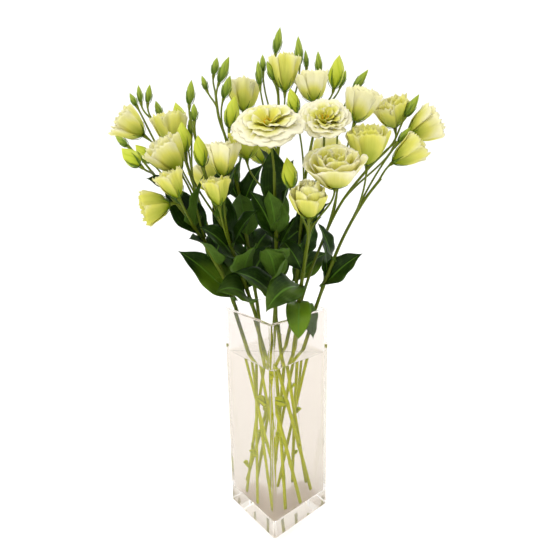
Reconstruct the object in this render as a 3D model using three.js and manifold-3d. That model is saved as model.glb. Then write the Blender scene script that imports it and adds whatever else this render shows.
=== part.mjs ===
// A bouquet of lisianthus standing in a tall square glass vase of water.
// Millimetres, +Z up, origin at the middle of the vase's underside, vase faces square to X and Y.
// The bouquet is laid out in a frame of its own, with X to the right and Y to the back of the
// arrangement, and is turned about Z where it stands in the vase.
import * as THREE from "three";
import { mergeVertices } from "three/addons/utils/BufferGeometryUtils.js";
import Module from "manifold-3d";

const wasm = await Module();
wasm.setup();

// Driving dimensions
const VASE_SIDE = 100;
const VASE_HEIGHT = 300;
const VASE_WALL = 5;
const VASE_FLOOR = 24;
const VASE_CORNER = 3.5;
const INNER_CORNER = 2;
const CORNER_STEPS = 2;
const RIM_ROUND = 1.2;
const CUT_HEIGHT = VASE_HEIGHT + 5;
const WATER_LEVEL = 240;
const GAP = 0.3;
const BOUQUET_TURN = -40;

const STEM_RADIUS = 2.7;
const STEM_TOP_RADIUS = 1.7;
const SIDE_RADIUS = 2.2;
const HOLE_RADIUS = STEM_RADIUS + 0.4;
const HOLE_DEPTH = 0.02;
const FOOT_CLEAR = 1;
const NEAR_RIM = 0.96;
const STEM_SIDES = 6;
const SPRAY_RADIUS = 1.4;
const SPRAY_TOP_RADIUS = 1.1;
const NECK_RADIUS = 1.5;
const NECK_LENGTH = 3;
const RECEPTACLE_RADIUS = 2.6;
const SPRAY_STEPS = 2;
const SPRAY_PULL = 0.38;

const PETALS = 5;
const PETAL_THICKNESS = 0.8;
const CORE_RADIUS = 2.2;
const CORE_STEP = 0.3;
const CUP_FLOOR = GAP + 0.5;
const FLOOR_STEP = 0.45;
const EDGE_LIFT = 1.2;
const EDGE_WALL = 0.9;
const EDGE_START = 1 / 3;
const ROOT_SPREAD = 22;
const FINE_PETAL = 60;
const FINE_ROWS = [0, 0.35, 0.7, 1];
const PLAIN_ROWS = [0, 0.5, 1];

const SEPALS = 5;
const SEPAL_WIDTH = 2.6;
const SEPAL_THICKNESS = 0.9;
const SEPAL_SPREAD = 1.8;
const SEPAL_LENGTH = 20;
const SEPAL_CLEAR = [3, 3.4];
const SEPAL_PLACES = [0.16, 0.42];
const BUD_SEPAL_OUT = [0.8, 1];
const BUD_SEPAL_UP = [0.07, 0.55];

const LEAF_THICKNESS = 0.8;
const LEAF_FOLD = 0.35;
const LEAF_SEAT = 1;
const LEAF_ROLL_END = 0.35;
const FINE_LEAF = 90;
const FINE_SLOPE = -60;
const FINE_LEAF_ROWS = [0.22, 0.48, 0.76];
const PLAIN_LEAF_ROWS = [0.3, 0.68];

// The turn from one head to the next, in degrees, so that no two show the same side.
const GOLDEN_TURN = 137.5;

// Petal forms: the slope of a petal above the level, in degrees, at its root and at its tip, the
// share of its length that its edges fall short of its tip, and the whorls inside it.
const FORMS = {
  bell: { root: 34, tip: 92, notch: 0.14, whorls: [] },
  tube: { root: 52, tip: 94, notch: 0.16, whorls: [] },
  rose: { root: 30, tip: 98, notch: 0.12, whorls: [{ share: 0.94, root: 50, tip: 112, petals: 3 }] },
  cup: {
    root: 40,
    tip: 62,
    notch: 0.16,
    whorls: [{ share: 0.84, root: 56, tip: 84, petals: 5 }, { share: 0.62, root: 68, tip: 92, petals: 3 }],
  },
  bowl: {
    root: 42,
    tip: 14,
    notch: 0.16,
    whorls: [{ share: 0.84, root: 52, tip: 30, petals: 5 }, { share: 0.62, root: 62, tip: 54, petals: 3 }],
  },
  open: {
    root: 48,
    tip: -26,
    notch: 0.18,
    whorls: [{ share: 0.84, root: 58, tip: 0, petals: 5 }, { share: 0.62, root: 68, tip: 36, petals: 3 }],
  },
};

// A swelling head as height and radius, each as a share of the head's own, with the twist from
// one ring to the next in radians and the depth of the folds between its petals.
const SPINDLE = [[0, 0.2], [0.16, 0.76], [0.42, 1], [0.74, 0.56]];
const SPINDLE_TWIST = 0.34;
const FOLD_DEPTH = 0.24;
const SMALL_BUD = [[0.04, 0.4], [0.44, 1]];

// The pistil and its stamens as radius, height and how far every second corner stands out.
const HEART = [[0.7, 0, 1], [1, 6, 1], [1.8, 12, 1.7], [1.2, 14.5, 1], [1.8, 17, 1]];

const PETAL_COLOUR = 0xe9e8c4;
const BUD_COLOUR = 0xb9c24a;
const STEM_COLOUR = 0x4f7440;
const HEART_COLOUR = 0xc9c23c;
const GLASS_COLOUR = 0xe4ecea;
const WATER_COLOUR = 0xdfeae4;

// Each stem has the route of its middle line above the rim, the heads that its sprays carry and
// the leaves at its joints. A head is form, name, what carries it, the height where its spray
// leaves that, where the head sits, the way it faces, its length and its width. A leaf is height,
// bearing, length, width, root slope, tip slope and how far it rolls about its own line. Heads
// without a node of their own are small green buds, which are part of the stem.
const STEMS = [
  {
    name: "stem_far_left",
    foot: [27, -30],
    rim: [-53, 0],
    route: [[-66, -12, 345], [-88, -26, 395], [-108, -34, 432], [-124, -38, 455], [-139, -44, 478]],
    heads: [
      ["bud", "bloom_left_swelling", "main", 470, [-141, -76, 483], [-0.7, 0, 0.7], 26, 17],
      ["sprig", "sprig_left_low", "main", 474, [-163, -45, 506], [-0.75, 0, 0.65], 17, 9],
      ["bell", "bloom_far_left", "main", 412, [-156, -4, 521], [-0.78, -0.2, 0.6], 32, 35],
      ["bud", "bloom_left_back_swelling", "main", 404, [-146, -14, 489], [-0.65, 0, 0.75], 27, 16],
      ["bell", "bloom_left_nodding", "main", 372, [-107, -44, 477], [-0.5, -0.25, 0.83], 38, 35],
      ["tube", "bloom_left_inner", "main", 402, [-104, -70, 449], [-0.35, -0.2, 0.9], 30, 24],
      ["bell", "bloom_left_hanging", "main", 416, [-117, -58, 442], [-0.93, -0.25, -0.15], 30, 30],
      ["sprig", "sprig_left_high", "bloom_far_left", 498, [-164, 4, 556], [-0.44, 0, 0.9], 16, 8],
      ["bell", "bloom_left_top", "side", 430, [-125, 18, 510], [-0.1, -0.1, 0.99], 38, 31],
      ["sprig", "sprig_left_a", "side", 508, [-158, 32, 563], [0.2, 0, 0.97], 23, 9],
      ["sprig", "sprig_left_b", "sprig_left_a", 540, [-170, 44, 566], [-0.1, 0.1, 1], 22, 8],
      ["sprig", "sprig_left_c", "side", 500, [-145, 42, 548], [-0.3, 0.2, 0.95], 22, 10],
      ["bud", "bloom_left_high_swelling", "side", 440, [-119, 48, 538], [-0.25, 0, 0.95], 29, 16],
      ["sprig", "sprig_left_d", "side", 450, [-104, 26, 524], [0, 0, 1], 22, 9],
    ],
    side: { fork: 345, route: [[-84, 6, 400], [-100, 16, 450], [-113, 26, 490], [-128, 36, 520]] },
    leaves: [
      [311, 197, 98, 43, 60, 34, -55], [330, 120, 70, 32, 66, 24, -30], [362, 250, 74, 35, 62, 10, -30],
      [370, 60, 68, 33, 62, 20, 15], [398, 170, 78, 35, 70, 40, -55], [412, 300, 72, 32, 72, 50, 50],
      [438, 235, 58, 24, 60, 10, -55],
    ],
  },
  {
    name: "stem_left",
    foot: [38, 3],
    rim: [-26, -26],
    route: [[-40, -34, 350], [-56, -38, 400], [-68, -36, 440], [-82, -28, 480], [-92, -18, 520]],
    heads: [
      ["bud", "bloom_left_green", "main", 394, [-102, -28, 498], [-0.06, -0.06, 1], 35, 18],
      ["bud", "bloom_middle_green", "main", 384, [-79, -50, 482], [-0.1, -0.1, 1], 34, 17],
      ["tube", "bloom_middle_upright", "main", 372, [-56, -56, 470], [0.05, -0.12, 0.99], 38, 30],
      ["tube", "bloom_middle_low", "main", 352, [-60, -72, 440], [-0.1, -0.15, 0.98], 30, 22],
      ["sprig", "sprig_middle_a", "main", 516, [-98, -8, 554], [0.15, 0, 0.99], 28, 11],
      ["sprig", "sprig_middle_b", "main", 468, [-90, -26, 534], [0.05, -0.1, 1], 19, 9],
    ],
    leaves: [
      [316, 238, 78, 37, 56, -8, -55], [334, 40, 68, 32, 70, 30, 50], [350, 290, 74, 35, 64, 16, 30],
      [366, 220, 74, 35, 66, 24, -55], [386, 330, 62, 28, 70, 34, 50], [394, 120, 72, 27, 76, 50, -30],
      [420, 310, 70, 32, 74, 50, 50], [440, 60, 58, 24, 70, 30, 50],
    ],
  },
  {
    name: "stem_back_left",
    foot: [3, -38],
    rim: [-26, 26],
    route: [[-33, 32, 350], [-41, 37, 410], [-51, 40, 470], [-62, 41, 520], [-70, 42, 546], [-74, 50, 578]],
    heads: [
      ["bell", "bloom_back_high", "main", 430, [-40, 80, 558], [0.03, 0.1, 1], 39, 39],
      ["bud", "bloom_high_green", "main", 440, [-55, 22, 530], [0.22, -0.05, 0.97], 39, 19],
      ["sprig", "sprig_high_a", "main", 574, [-76, 55, 600], [0.26, 0, 0.97], 22, 11],
      ["sprig", "sprig_high_b", "main", 550, [-68, 43, 588], [0.42, 0, 0.91], 34, 13],
      ["sprig", "sprig_high_c", "main", 500, [-62, 34, 568], [0.36, -0.1, 0.93], 28, 13],
      ["sprig", "sprig_high_d", "main", 555, [-85, 48, 581], [-0.3, 0, 0.95], 18, 8],
      ["bell", "bloom_back_left", "main", 395, [-84, 84, 452], [-0.45, 0.45, 0.77], 42, 44],
    ],
    leaves: [
      [322, 130, 74, 35, 58, 0, -55], [338, 235, 72, 32, 66, 20, -55], [356, 55, 70, 32, 64, 10, 50],
      [374, 160, 72, 36, 68, 24, -55], [392, 265, 72, 35, 72, 40, 0], [426, 350, 70, 32, 76, 50, 50],
      [432, 190, 66, 24, 74, 46, -55], [462, 300, 50, 18, 74, 46, 50],
    ],
  },
  {
    name: "stem_front",
    foot: [24, 29],
    rim: [0, -39],
    route: [[1, -42, 350], [2, -45, 400], [1, -50, 440], [1, -59, 475]],
    heads: [
      ["open", "bloom_front", "main", 468, [-4, -72, 515], [-0.1, -0.56, 0.82], 24, 82],
      ["bell", "bloom_behind_front", "main", 430, [-31, -26, 490], [-0.05, 0.1, 0.99], 31, 36],
    ],
    leaves: [
      [331, 292, 60, 30, 74, 44, 50], [322, 205, 70, 33, 62, 14, -45], [350, 260, 66, 30, 66, 20, 0],
      [381, 340, 54, 16, 66, 55, 50], [362, 273, 62, 28, 60, 4, 0], [406, 318, 60, 32, 76, 68, 50],
      [396, 175, 68, 28, 76, 50, -55], [436, 100, 70, 30, 82, 72, 0], [404, 255, 58, 31, 80, 50, -20],
    ],
  },
  {
    name: "stem_back",
    foot: [-24, -29],
    rim: [0, 39],
    route: [[1, 42, 350], [3, 46, 420], [5, 51, 490], [8, 57, 550], [7, 68, 592], [5, 82, 622]],
    heads: [
      ["sprig", "sprig_top", "main", 618, [5, 86, 632], [0.2, 0.05, 0.98], 34, 13],
      ["sprig", "sprig_top_left_a", "main", 500, [-12, 60, 604], [0, 0, 1], 21, 9],
      ["sprig", "sprig_top_left_b", "main", 480, [-16, 48, 586], [-0.06, 0, 1], 29, 10],
      ["sprig", "sprig_top_left_c", "main", 500, [2, 42, 590], [-0.35, -0.1, 0.93], 24, 10],
      ["tube", "bloom_top", "main", 470, [16, 44, 576], [0, -0.05, 1], 43, 26],
      ["sprig", "sprig_top_right_a", "main", 505, [36, 66, 613], [-0.04, 0, 1], 35, 12],
      ["sprig", "sprig_top_right_b", "sprig_top_right_a", 592, [46, 74, 612], [-0.06, 0.1, 1], 22, 7],
      ["bell", "bloom_back", "main", 420, [-16, 104, 490], [-0.1, 0.5, 0.85], 42, 42],
    ],
    leaves: [
      [324, 80, 72, 32, 58, -4, 0], [342, 115, 70, 32, 66, 20, -30], [362, 10, 70, 30, 64, 14, 50],
      [384, 110, 66, 28, 66, 20, -30], [400, 275, 70, 33, 74, 44, 0], [440, 40, 62, 22, 74, 46, 50],
      [448, 230, 68, 30, 76, 48, -55],
    ],
  },
  {
    name: "stem_back_right",
    foot: [-38, -3],
    rim: [26, 26],
    route: [[31, 29, 350], [36, 31, 410], [42, 34, 470], [52, 38, 520], [62, 46, 552]],
    heads: [
      ["bell", "bloom_top_right", "main", 440, [52, 32, 561], [-0.07, 0.1, 0.99], 34, 38],
      ["bud", "bloom_top_small", "main", 430, [29, 22, 546], [-0.22, 0, 0.97], 31, 16],
      ["sprig", "sprig_right_a", "main", 490, [62, 66, 602], [-0.05, 0.05, 1], 28, 10],
      ["bud", "bloom_top_far_right", "main", 548, [80, 54, 580], [0.17, 0, 0.98], 42, 21],
      ["sprig", "sprig_right_b", "main", 540, [92, 72, 588], [0.33, 0.1, 0.95], 21, 9],
      ["bell", "bloom_back_right", "main", 430, [70, 92, 480], [0.3, 0.5, 0.8], 42, 44],
    ],
    leaves: [
      [328, 30, 66, 30, 60, 6, 50], [348, 85, 64, 29, 66, 20, 0], [372, 320, 60, 25, 70, 36, 50],
      [398, 60, 58, 24, 68, 26, 50],
    ],
  },
  {
    name: "stem_front_right",
    foot: [-3, 38],
    rim: [27, -27],
    route: [[33, -40, 350], [39, -48, 395], [45, -50, 430], [53, -46, 470], [58, -40, 496]],
    heads: [
      ["bowl", "bloom_front_right", "main", 486, [58, -40, 524], [-0.04, -0.74, 0.67], 30, 62],
      ["cup", "bloom_low_right", "main", 400, [65, -82, 458], [-0.1, -0.46, 0.87], 32, 60],
      ["rose", "bloom_low_middle", "main", 348, [36, -96, 428], [-0.03, -0.3, 0.95], 33, 39],
      ["bud", "bloom_low_green", "main", 392, [19, -78, 457], [-0.14, -0.1, 0.98], 33, 17],
    ],
    leaves: [
      [316, 267, 58, 28, 10, -115, 0], [312, 45, 60, 28, -30, -100, -75], [337, 228, 70, 35, 22, -50, -45],
      [356, 150, 54, 22, 70, 36, -55], [378, 60, 44, 17, 70, 34, 50], [414, 330, 36, 13, 66, 34, 50],
    ],
  },
  {
    name: "stem_right",
    foot: [-27, 31],
    rim: [53, -2],
    route: [[68, -4, 345], [89, -4, 397], [112, -8, 440], [130, -14, 466]],
    heads: [
      ["tube", "bloom_right_swelling", "main", 458, [142, -20, 484], [0.82, -0.15, 0.55], 38, 25],
      ["bell", "bloom_right_middle", "main", 362, [105, -50, 481], [-0.05, -0.3, 0.95], 39, 42],
      ["bell", "bloom_right_high", "side", 385, [98, -6, 532], [0.3, -0.1, 0.94], 36, 36],
      ["sprig", "sprig_right_c", "side", 405, [101, 24, 574], [0.6, 0, 0.78], 29, 11],
      ["bell", "bloom_right_inner", "side", 432, [154, 22, 528], [-0.35, -0.35, 0.87], 34, 35],
      ["sprig", "sprig_right_d", "side", 510, [160, 0, 538], [0.5, -0.1, 0.87], 29, 12],
      ["bell", "bloom_far_right", "side", 506, [167, 6, 517], [0.86, -0.15, 0.48], 36, 36],
      ["sprig", "sprig_right_e", "main", 400, [150, -12, 508], [0.6, -0.1, 0.8], 21, 9],
    ],
    side: {
      fork: 170,
      rim: [32, 5],
      route: [[52, 10, 360], [84, 18, 430], [118, 18, 475], [144, 12, 502]],
    },
    leaves: [
      [328, 350, 68, 32, 56, 30, 50], [344, 100, 64, 25, 74, 52, 50], [362, 200, 56, 23, 78, 58, -55],
    ],
  },
];

const radians = THREE.MathUtils.degToRad;
const vec = (list) => new THREE.Vector3(...list);

// Solids

function solidOf(geometry) {
  const bare = new THREE.BufferGeometry();
  bare.setAttribute("position", geometry.getAttribute("position").clone());
  if (geometry.index) bare.setIndex(geometry.index.clone());
  const merged = mergeVertices(bare, 1e-3);
  return new wasm.Manifold(new wasm.Mesh({
    numProp: 3,
    vertProperties: new Float32Array(merged.getAttribute("position").array),
    triVerts: new Uint32Array(merged.index.array),
  }));
}

function geometryFrom(positions, triangles) {
  const geometry = new THREE.BufferGeometry();
  geometry.setAttribute("position", new THREE.Float32BufferAttribute(positions, 3));
  geometry.setIndex(triangles);
  return geometry;
}

function fuse(geometries) {
  let body = solidOf(geometries[0]);
  for (const geometry of geometries.slice(1)) body = body.add(solidOf(geometry));
  return body;
}

// The outer skin of a fused body. A hollow that the fusing sealed is filled.
function outerSkin(solid) {
  const mesh = solid.getMesh();
  const shells = shellsOf(mesh);
  const volumes = shells.map((shell) => shellVolume(mesh, shell));
  const outer = shells[volumes.indexOf(Math.max(...volumes))];
  return geometryFrom(Array.from(mesh.vertProperties), outer);
}

function shellsOf(mesh) {
  const parent = Array.from({ length: mesh.numVert }, (_, index) => index);
  const root = (index) => {
    while (parent[index] !== index) index = parent[index] = parent[parent[index]];
    return index;
  };
  const corners = mesh.triVerts;
  for (let i = 0; i < corners.length; i += 3) {
    parent[root(corners[i])] = root(corners[i + 1]);
    parent[root(corners[i + 1])] = root(corners[i + 2]);
  }
  const shells = new Map();
  for (let i = 0; i < corners.length; i += 3) {
    const key = root(corners[i]);
    if (!shells.has(key)) shells.set(key, []);
    shells.get(key).push(corners[i], corners[i + 1], corners[i + 2]);
  }
  return [...shells.values()];
}

function shellVolume(mesh, shell) {
  const point = (index) => vec(mesh.vertProperties.slice(3 * index, 3 * index + 3));
  let volume = 0;
  for (let i = 0; i < shell.length; i += 3) {
    const [a, b, c] = [point(shell[i]), point(shell[i + 1]), point(shell[i + 2])];
    volume += a.dot(b.cross(c)) / 6;
  }
  return volume;
}

// Rings of points round a line, with a radius at each of its points.
function ringsRound(points, radii, sides) {
  let side = sideways(direction(points, 0));
  return points.map((point, index) => {
    const along = direction(points, index);
    side = side.clone().addScaledVector(along, -side.dot(along)).normalize();
    const across = along.clone().cross(side);
    return Array.from({ length: sides }, (_, corner) => {
      const angle = (2 * Math.PI * corner) / sides;
      return point.clone()
        .addScaledVector(side, radii[index] * Math.cos(angle))
        .addScaledVector(across, radii[index] * Math.sin(angle));
    });
  });
}

function tubeGeometry(points, radii, sides) {
  return ringGeometry(ringsRound(points, radii, sides));
}

function direction(points, index) {
  const before = points[Math.max(index - 1, 0)];
  const after = points[Math.min(index + 1, points.length - 1)];
  return after.clone().sub(before).normalize();
}

function sideways(along) {
  const helper = Math.abs(along.z) > 0.9 ? new THREE.Vector3(1, 0, 0) : new THREE.Vector3(0, 0, 1);
  return helper.cross(along).normalize();
}

// The way that a surface of across (-1 to 1) and along (0 to 1) faces.
function surfaceNormal(surface, across, along) {
  const step = 0.02;
  const left = surface(Math.max(across - step, -1), along);
  const right = surface(Math.min(across + step, 1), along);
  const low = surface(across, Math.max(along - step, 0));
  const high = surface(across, Math.min(along + step, 1));
  return right.sub(left).cross(high.sub(low)).normalize();
}

// Reach and rise of a blade that bends evenly from one slope to another.
function bend(length, rootSlope, tipSlope, along) {
  const start = radians(rootSlope);
  const turn = radians(tipSlope) - start;
  const slope = start + turn * along;
  return {
    reach: (length * (Math.sin(slope) - Math.sin(start))) / turn,
    rise: (length * (Math.cos(start) - Math.cos(slope))) / turn,
    slope,
  };
}

// Stems and sprays

// A stem stands straight in the vase, from its foot to the rim, and goes on along its route. The
// feet lie across the vase from the rim points, all turned the same way, so that no two stems
// meet at the waist of the bundle.
function straightPart(start, [x, y]) {
  const rim = new THREE.Vector3(x, y, VASE_HEIGHT);
  return [start, start.clone().lerp(rim, NEAR_RIM), rim];
}

function mainLine(stem) {
  const foot = new THREE.Vector3(...stem.foot, VASE_FLOOR + FOOT_CLEAR);
  return [...straightPart(foot, stem.rim), ...stem.route.map(vec)];
}

// A side stem leaves the main stem at a fork, above the rim or down in the water.
function sideLine({ fork, rim, route }, main) {
  const start = atHeight(main, fork).point;
  const low = rim ? straightPart(start, rim) : [start];
  return [...low, ...route.map(vec)];
}

// The point of a line at a height, and the line's direction there.
function atHeight(line, height) {
  let index = line.findIndex((point) => point.z >= height);
  index = Math.min(Math.max(index < 0 ? line.length - 1 : index, 1), line.length - 1);
  const [a, b] = [line[index - 1], line[index]];
  const share = THREE.MathUtils.clamp((height - a.z) / (b.z - a.z), 0, 1);
  return { point: a.clone().lerp(b, share), along: b.clone().sub(a).normalize() };
}

// A spray leaves its carrier along it and ends in the way that its head faces.
function sprayLine(start, along, end, facing) {
  const pull = start.distanceTo(end) * SPRAY_PULL;
  const leave = start.clone().addScaledVector(along, pull);
  const arrive = end.clone().addScaledVector(facing, -pull);
  const curve = new THREE.CubicBezierCurve3(start, leave, arrive, end);
  return curve.getPoints(SPRAY_STEPS);
}

function taper(count, first, last) {
  return Array.from({ length: count }, (_, index) => first + ((last - first) * index) / (count - 1));
}

function headOf(row) {
  const [form, name, carrier, height, seat, facing, length, width] = row;
  return { form, name, carrier, height, seat: vec(seat), facing: vec(facing).normalize(), length, width };
}

// All lines of a stem: its main line, its side line and one line for each head.
function linesOf(stem) {
  const lines = { main: mainLine(stem) };
  if (stem.side) lines.side = sideLine(stem.side, lines.main);
  for (const head of stem.heads.map(headOf)) {
    const { point, along } = atHeight(lines[head.carrier], head.height);
    lines[head.name] = sprayLine(point, along, head.seat, head.facing);
  }
  return lines;
}

// Heads

const HAS_OWN_NODE = (head) => head.form !== "sprig";
const HAS_HEART = (head) => ["open", "cup", "bowl"].includes(head.form);

// A frame at a head's seat: its own up is the way that it faces.
function headFrame(head) {
  const across = sideways(head.facing);
  const other = head.facing.clone().cross(across);
  return (x, y, z) => head.seat.clone()
    .addScaledVector(across, x)
    .addScaledVector(other, y)
    .addScaledVector(head.facing, z);
}

// A point of a head's cup: along a petal from its root, lifted outward from the petal's face.
function cupPoint(frame, bearing, whorl, along, lift) {
  const { reach, rise, slope } = bend(whorl.size, whorl.root, whorl.tip, along);
  const out = whorl.core + reach + lift * Math.sin(slope);
  const up = whorl.floor + rise - lift * Math.cos(slope);
  return frame(out * Math.cos(bearing), out * Math.sin(bearing), up);
}

// One whorl of petals in one closed ribbon. Each petal has a low, a middle and a high column: its
// low edge lies under its neighbour and its high edge stands over the next one. The middle
// reaches further than the edges, so the tips are round.
function whorlGeometry(frame, whorl) {
  const columns = [];
  for (let petal = 0; petal < whorl.petals; petal++) {
    for (const side of [-1, 0, 1]) {
      const bearing = whorl.turn + (2 * Math.PI * (petal + side / 2)) / whorl.petals;
      columns.push({ side, bearing });
    }
  }
  const positions = [];
  for (const face of [0.5, -0.5]) {
    for (const along of whorl.rows) {
      for (const { side, bearing } of columns) {
        const reached = along * (side === 0 ? 1 : 1 - whorl.notch * along);
        const lift = side * EDGE_LIFT * Math.min(1, along / EDGE_START) + face * PETAL_THICKNESS;
        const { reach } = bend(whorl.size, whorl.root, whorl.tip, reached);
        const step = side === 0 ? 0 : (face * EDGE_WALL) / (whorl.core + reach);
        const start = along === 0 ? radians((-side * ROOT_SPREAD) / whorl.petals) : step;
        positions.push(...cupPoint(frame, bearing + start, whorl, reached, lift).toArray());
      }
    }
  }
  return geometryFrom(positions, ribbonTriangles(columns.length, whorl.rows.length));
}

// Triangles of a closed ribbon cup: outer face, inner face, rim, underside and floor.
function ribbonTriangles(columns, rows) {
  const triangles = [];
  const inner = columns * rows;
  const quad = (a, b, c, d) => triangles.push(a, b, c, a, c, d);
  for (let column = 0; column < columns; column++) {
    const next = (column + 1) % columns;
    for (let row = 0; row < rows - 1; row++) {
      const [a, b] = [row * columns + column, row * columns + next];
      quad(a, b, b + columns, a + columns);
      quad(b + inner, a + inner, a + columns + inner, b + columns + inner);
    }
    const [a, b] = [(rows - 1) * columns + column, (rows - 1) * columns + next];
    quad(a, b, b + inner, a + inner);
    if (column > 1) {
      triangles.push(0, column, column - 1);
      triangles.push(inner, inner + column - 1, inner + column);
    }
  }
  return triangles;
}

// The whorls of a head, from the outer one to the inner ones.
function whorlsOf(head, index) {
  const form = FORMS[head.form];
  const size = petalSize(head);
  const outer = { share: 1, root: form.root, tip: form.tip, petals: PETALS };
  return [outer, ...form.whorls].map(({ share, root, tip, petals }, order) => ({
    size: size * share,
    root,
    tip,
    petals,
    turn: radians(index * GOLDEN_TURN) + (order * Math.PI) / PETALS,
    core: CORE_RADIUS - CORE_STEP * order,
    floor: CUP_FLOOR + FLOOR_STEP * order,
    notch: form.notch,
    rows: order === 0 && size > FINE_PETAL ? FINE_ROWS : PLAIN_ROWS,
  }));
}

// Petal length of a head: from its width where it is open, otherwise from its length.
function petalSize(head) {
  const { root, tip } = FORMS[head.form];
  const unit = bend(1, root, tip, 1);
  if (HAS_HEART(head)) return (head.width / 2 - CORE_RADIUS) / unit.reach;
  return head.length / unit.rise;
}

function bloomGeometry(head, index) {
  const frame = headFrame(head);
  return outerSkin(fuse(whorlsOf(head, index).map((whorl) => whorlGeometry(frame, whorl))));
}

// A swelling head: petals rolled round each other into a pointed spindle with twisted folds.
function spindleGeometry(head) {
  const frame = headFrame(head);
  const rings = SPINDLE.map(([height, share], ring) => {
    return Array.from({ length: 2 * PETALS }, (_, corner) => {
      const angle = (Math.PI * corner) / PETALS + SPINDLE_TWIST * ring;
      const radius = (head.width / 2) * share * (corner % 2 ? 1 - FOLD_DEPTH * share : 1);
      return frame(radius * Math.cos(angle), radius * Math.sin(angle), GAP + height * head.length);
    });
  });
  return ringGeometry(rings, frame(0, 0, GAP + head.length));
}

// A closed body through rings of points, with an apex where one is given. At the ring where
// needles are given, each side grows out into a needle.
function ringGeometry(rings, apex, needles) {
  const sides = rings[0].length;
  const positions = rings.flat();
  const triangles = [];
  const last = (rings.length - 1) * sides;
  for (let corner = 2; corner < sides; corner++) triangles.push(0, corner, corner - 1);
  for (let ring = 1; ring < rings.length; ring++) {
    for (let corner = 0; corner < sides; corner++) {
      const next = (corner + 1) % sides;
      const [a, b] = [(ring - 1) * sides + corner, (ring - 1) * sides + next];
      const side = [a, b, b + sides, a + sides];
      if (needles?.ring === ring) growNeedle(positions, triangles, side, needles.shapes[corner]);
      else triangles.push(a, b, b + sides, a, b + sides, a + sides);
    }
  }
  if (apex) positions.push(apex);
  for (let corner = 0; corner < (apex ? sides : 0); corner++) {
    triangles.push(last + corner, last + ((corner + 1) % sides), positions.length - 1);
  }
  for (let corner = 2; corner < (apex ? 0 : sides); corner++) {
    triangles.push(last, last + corner - 1, last + corner);
  }
  return geometryFrom(positions.flatMap((point) => point.toArray()), triangles);
}

// A needle on a four-cornered side: through a middle section where it has one, to its tip.
function growNeedle(positions, triangles, side, { middle, tip }) {
  let base = side;
  if (middle) {
    const section = middle.map((point) => positions.push(point) - 1);
    side.forEach((a, index) => {
      const next = (index + 1) % side.length;
      triangles.push(a, side[next], section[next], a, section[next], section[index]);
    });
    base = section;
  }
  const point = positions.push(tip) - 1;
  base.forEach((a, index) => triangles.push(a, base[(index + 1) % base.length], point));
}

// The pistil of an open head, with its ring of stamens.
function heartGeometry(head) {
  const frame = headFrame(head);
  const base = CUP_FLOOR + 2 * FLOOR_STEP + PETAL_THICKNESS / 2 + GAP;
  const rings = HEART.map(([radius, up, points]) => {
    return Array.from({ length: 2 * PETALS }, (_, corner) => {
      const angle = (Math.PI * corner) / PETALS;
      const out = radius * (corner % 2 ? 1 : points);
      return frame(out * Math.cos(angle), out * Math.sin(angle), base + up);
    });
  });
  return ringGeometry(rings);
}

// Leaves

// Half the width of a leaf: a short root, widest below its middle, and a drawn-out tip.
function leafSpan(width, along) {
  return (width / 2) * Math.max(0.09, Math.sin(Math.PI * (0.06 + 0.94 * along) ** 0.8) ** 0.85);
}

// A leaf bends from root to tip, folds along its rib, and rolls about it past its root.
function leafSurface(leaf) {
  const bearing = radians(leaf.bearing);
  const outward = new THREE.Vector3(Math.cos(bearing), Math.sin(bearing), 0);
  const across = new THREE.Vector3(-Math.sin(bearing), Math.cos(bearing), 0);
  const top = new THREE.Vector3(0, 0, 1);
  return (side, along) => {
    const { reach, rise, slope } = bend(leaf.length, leaf.root, leaf.tip, along);
    const roll = radians(leaf.roll) * THREE.MathUtils.smoothstep(along, 0, LEAF_ROLL_END);
    const half = side * leafSpan(leaf.width, along);
    const fold = Math.abs(half) * LEAF_FOLD;
    const level = half * Math.cos(roll) - fold * Math.sin(roll);
    const raised = half * Math.sin(roll) + fold * Math.cos(roll);
    return leaf.seat.clone()
      .addScaledVector(outward, LEAF_SEAT + reach - raised * Math.sin(slope))
      .addScaledVector(across, level)
      .addScaledVector(top, rise + raised * Math.cos(slope));
  };
}

// A leaf is a folded blade of three columns that come together at its root and at its tip.
function leafGeometry(leaf) {
  const fine = leaf.length > FINE_LEAF || leaf.tip < FINE_SLOPE;
  const rows = fine ? FINE_LEAF_ROWS : PLAIN_LEAF_ROWS;
  const surface = leafSurface(leaf);
  const places = [[0, 0], ...rows.flatMap((row) => [[-1, row], [0, row], [1, row]]), [0, 1]];
  const positions = [];
  for (const face of [0.5, -0.5]) {
    for (const [across, along] of places) {
      const normal = surfaceNormal(surface, across, along);
      const point = surface(across, along).addScaledVector(normal, face * LEAF_THICKNESS);
      positions.push(...point.toArray());
    }
  }
  return geometryFrom(positions, leafTriangles(rows.length, places.length));
}

function leafTriangles(rows, count) {
  const tip = count - 1;
  const top = [[0, 2, 1], [0, 3, 2]];
  for (let row = 0; row < rows - 1; row++) {
    const a = 1 + 3 * row;
    top.push([a, a + 1, a + 4], [a, a + 4, a + 3], [a + 1, a + 2, a + 4], [a + 2, a + 5, a + 4]);
  }
  top.push([tip - 3, tip - 2, tip], [tip - 2, tip - 1, tip]);
  const triangles = top.flatMap(([a, b, c]) => [a, b, c, a + count, c + count, b + count]);
  const right = Array.from({ length: rows }, (_, row) => 3 * row + 3);
  const left = Array.from({ length: rows }, (_, row) => 3 * row + 1).reverse();
  const edge = [0, ...right, tip, ...left];
  edge.forEach((a, index) => {
    const b = edge[(index + 1) % edge.length];
    triangles.push(a, a + count, b + count, a, b + count, b);
  });
  return triangles;
}

function leafOf(row, line) {
  const [height, bearing, length, width, root, tip, roll] = row;
  return { seat: atHeight(line, height).point, bearing, length, width, root, tip, roll };
}

// The vase and its water

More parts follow.
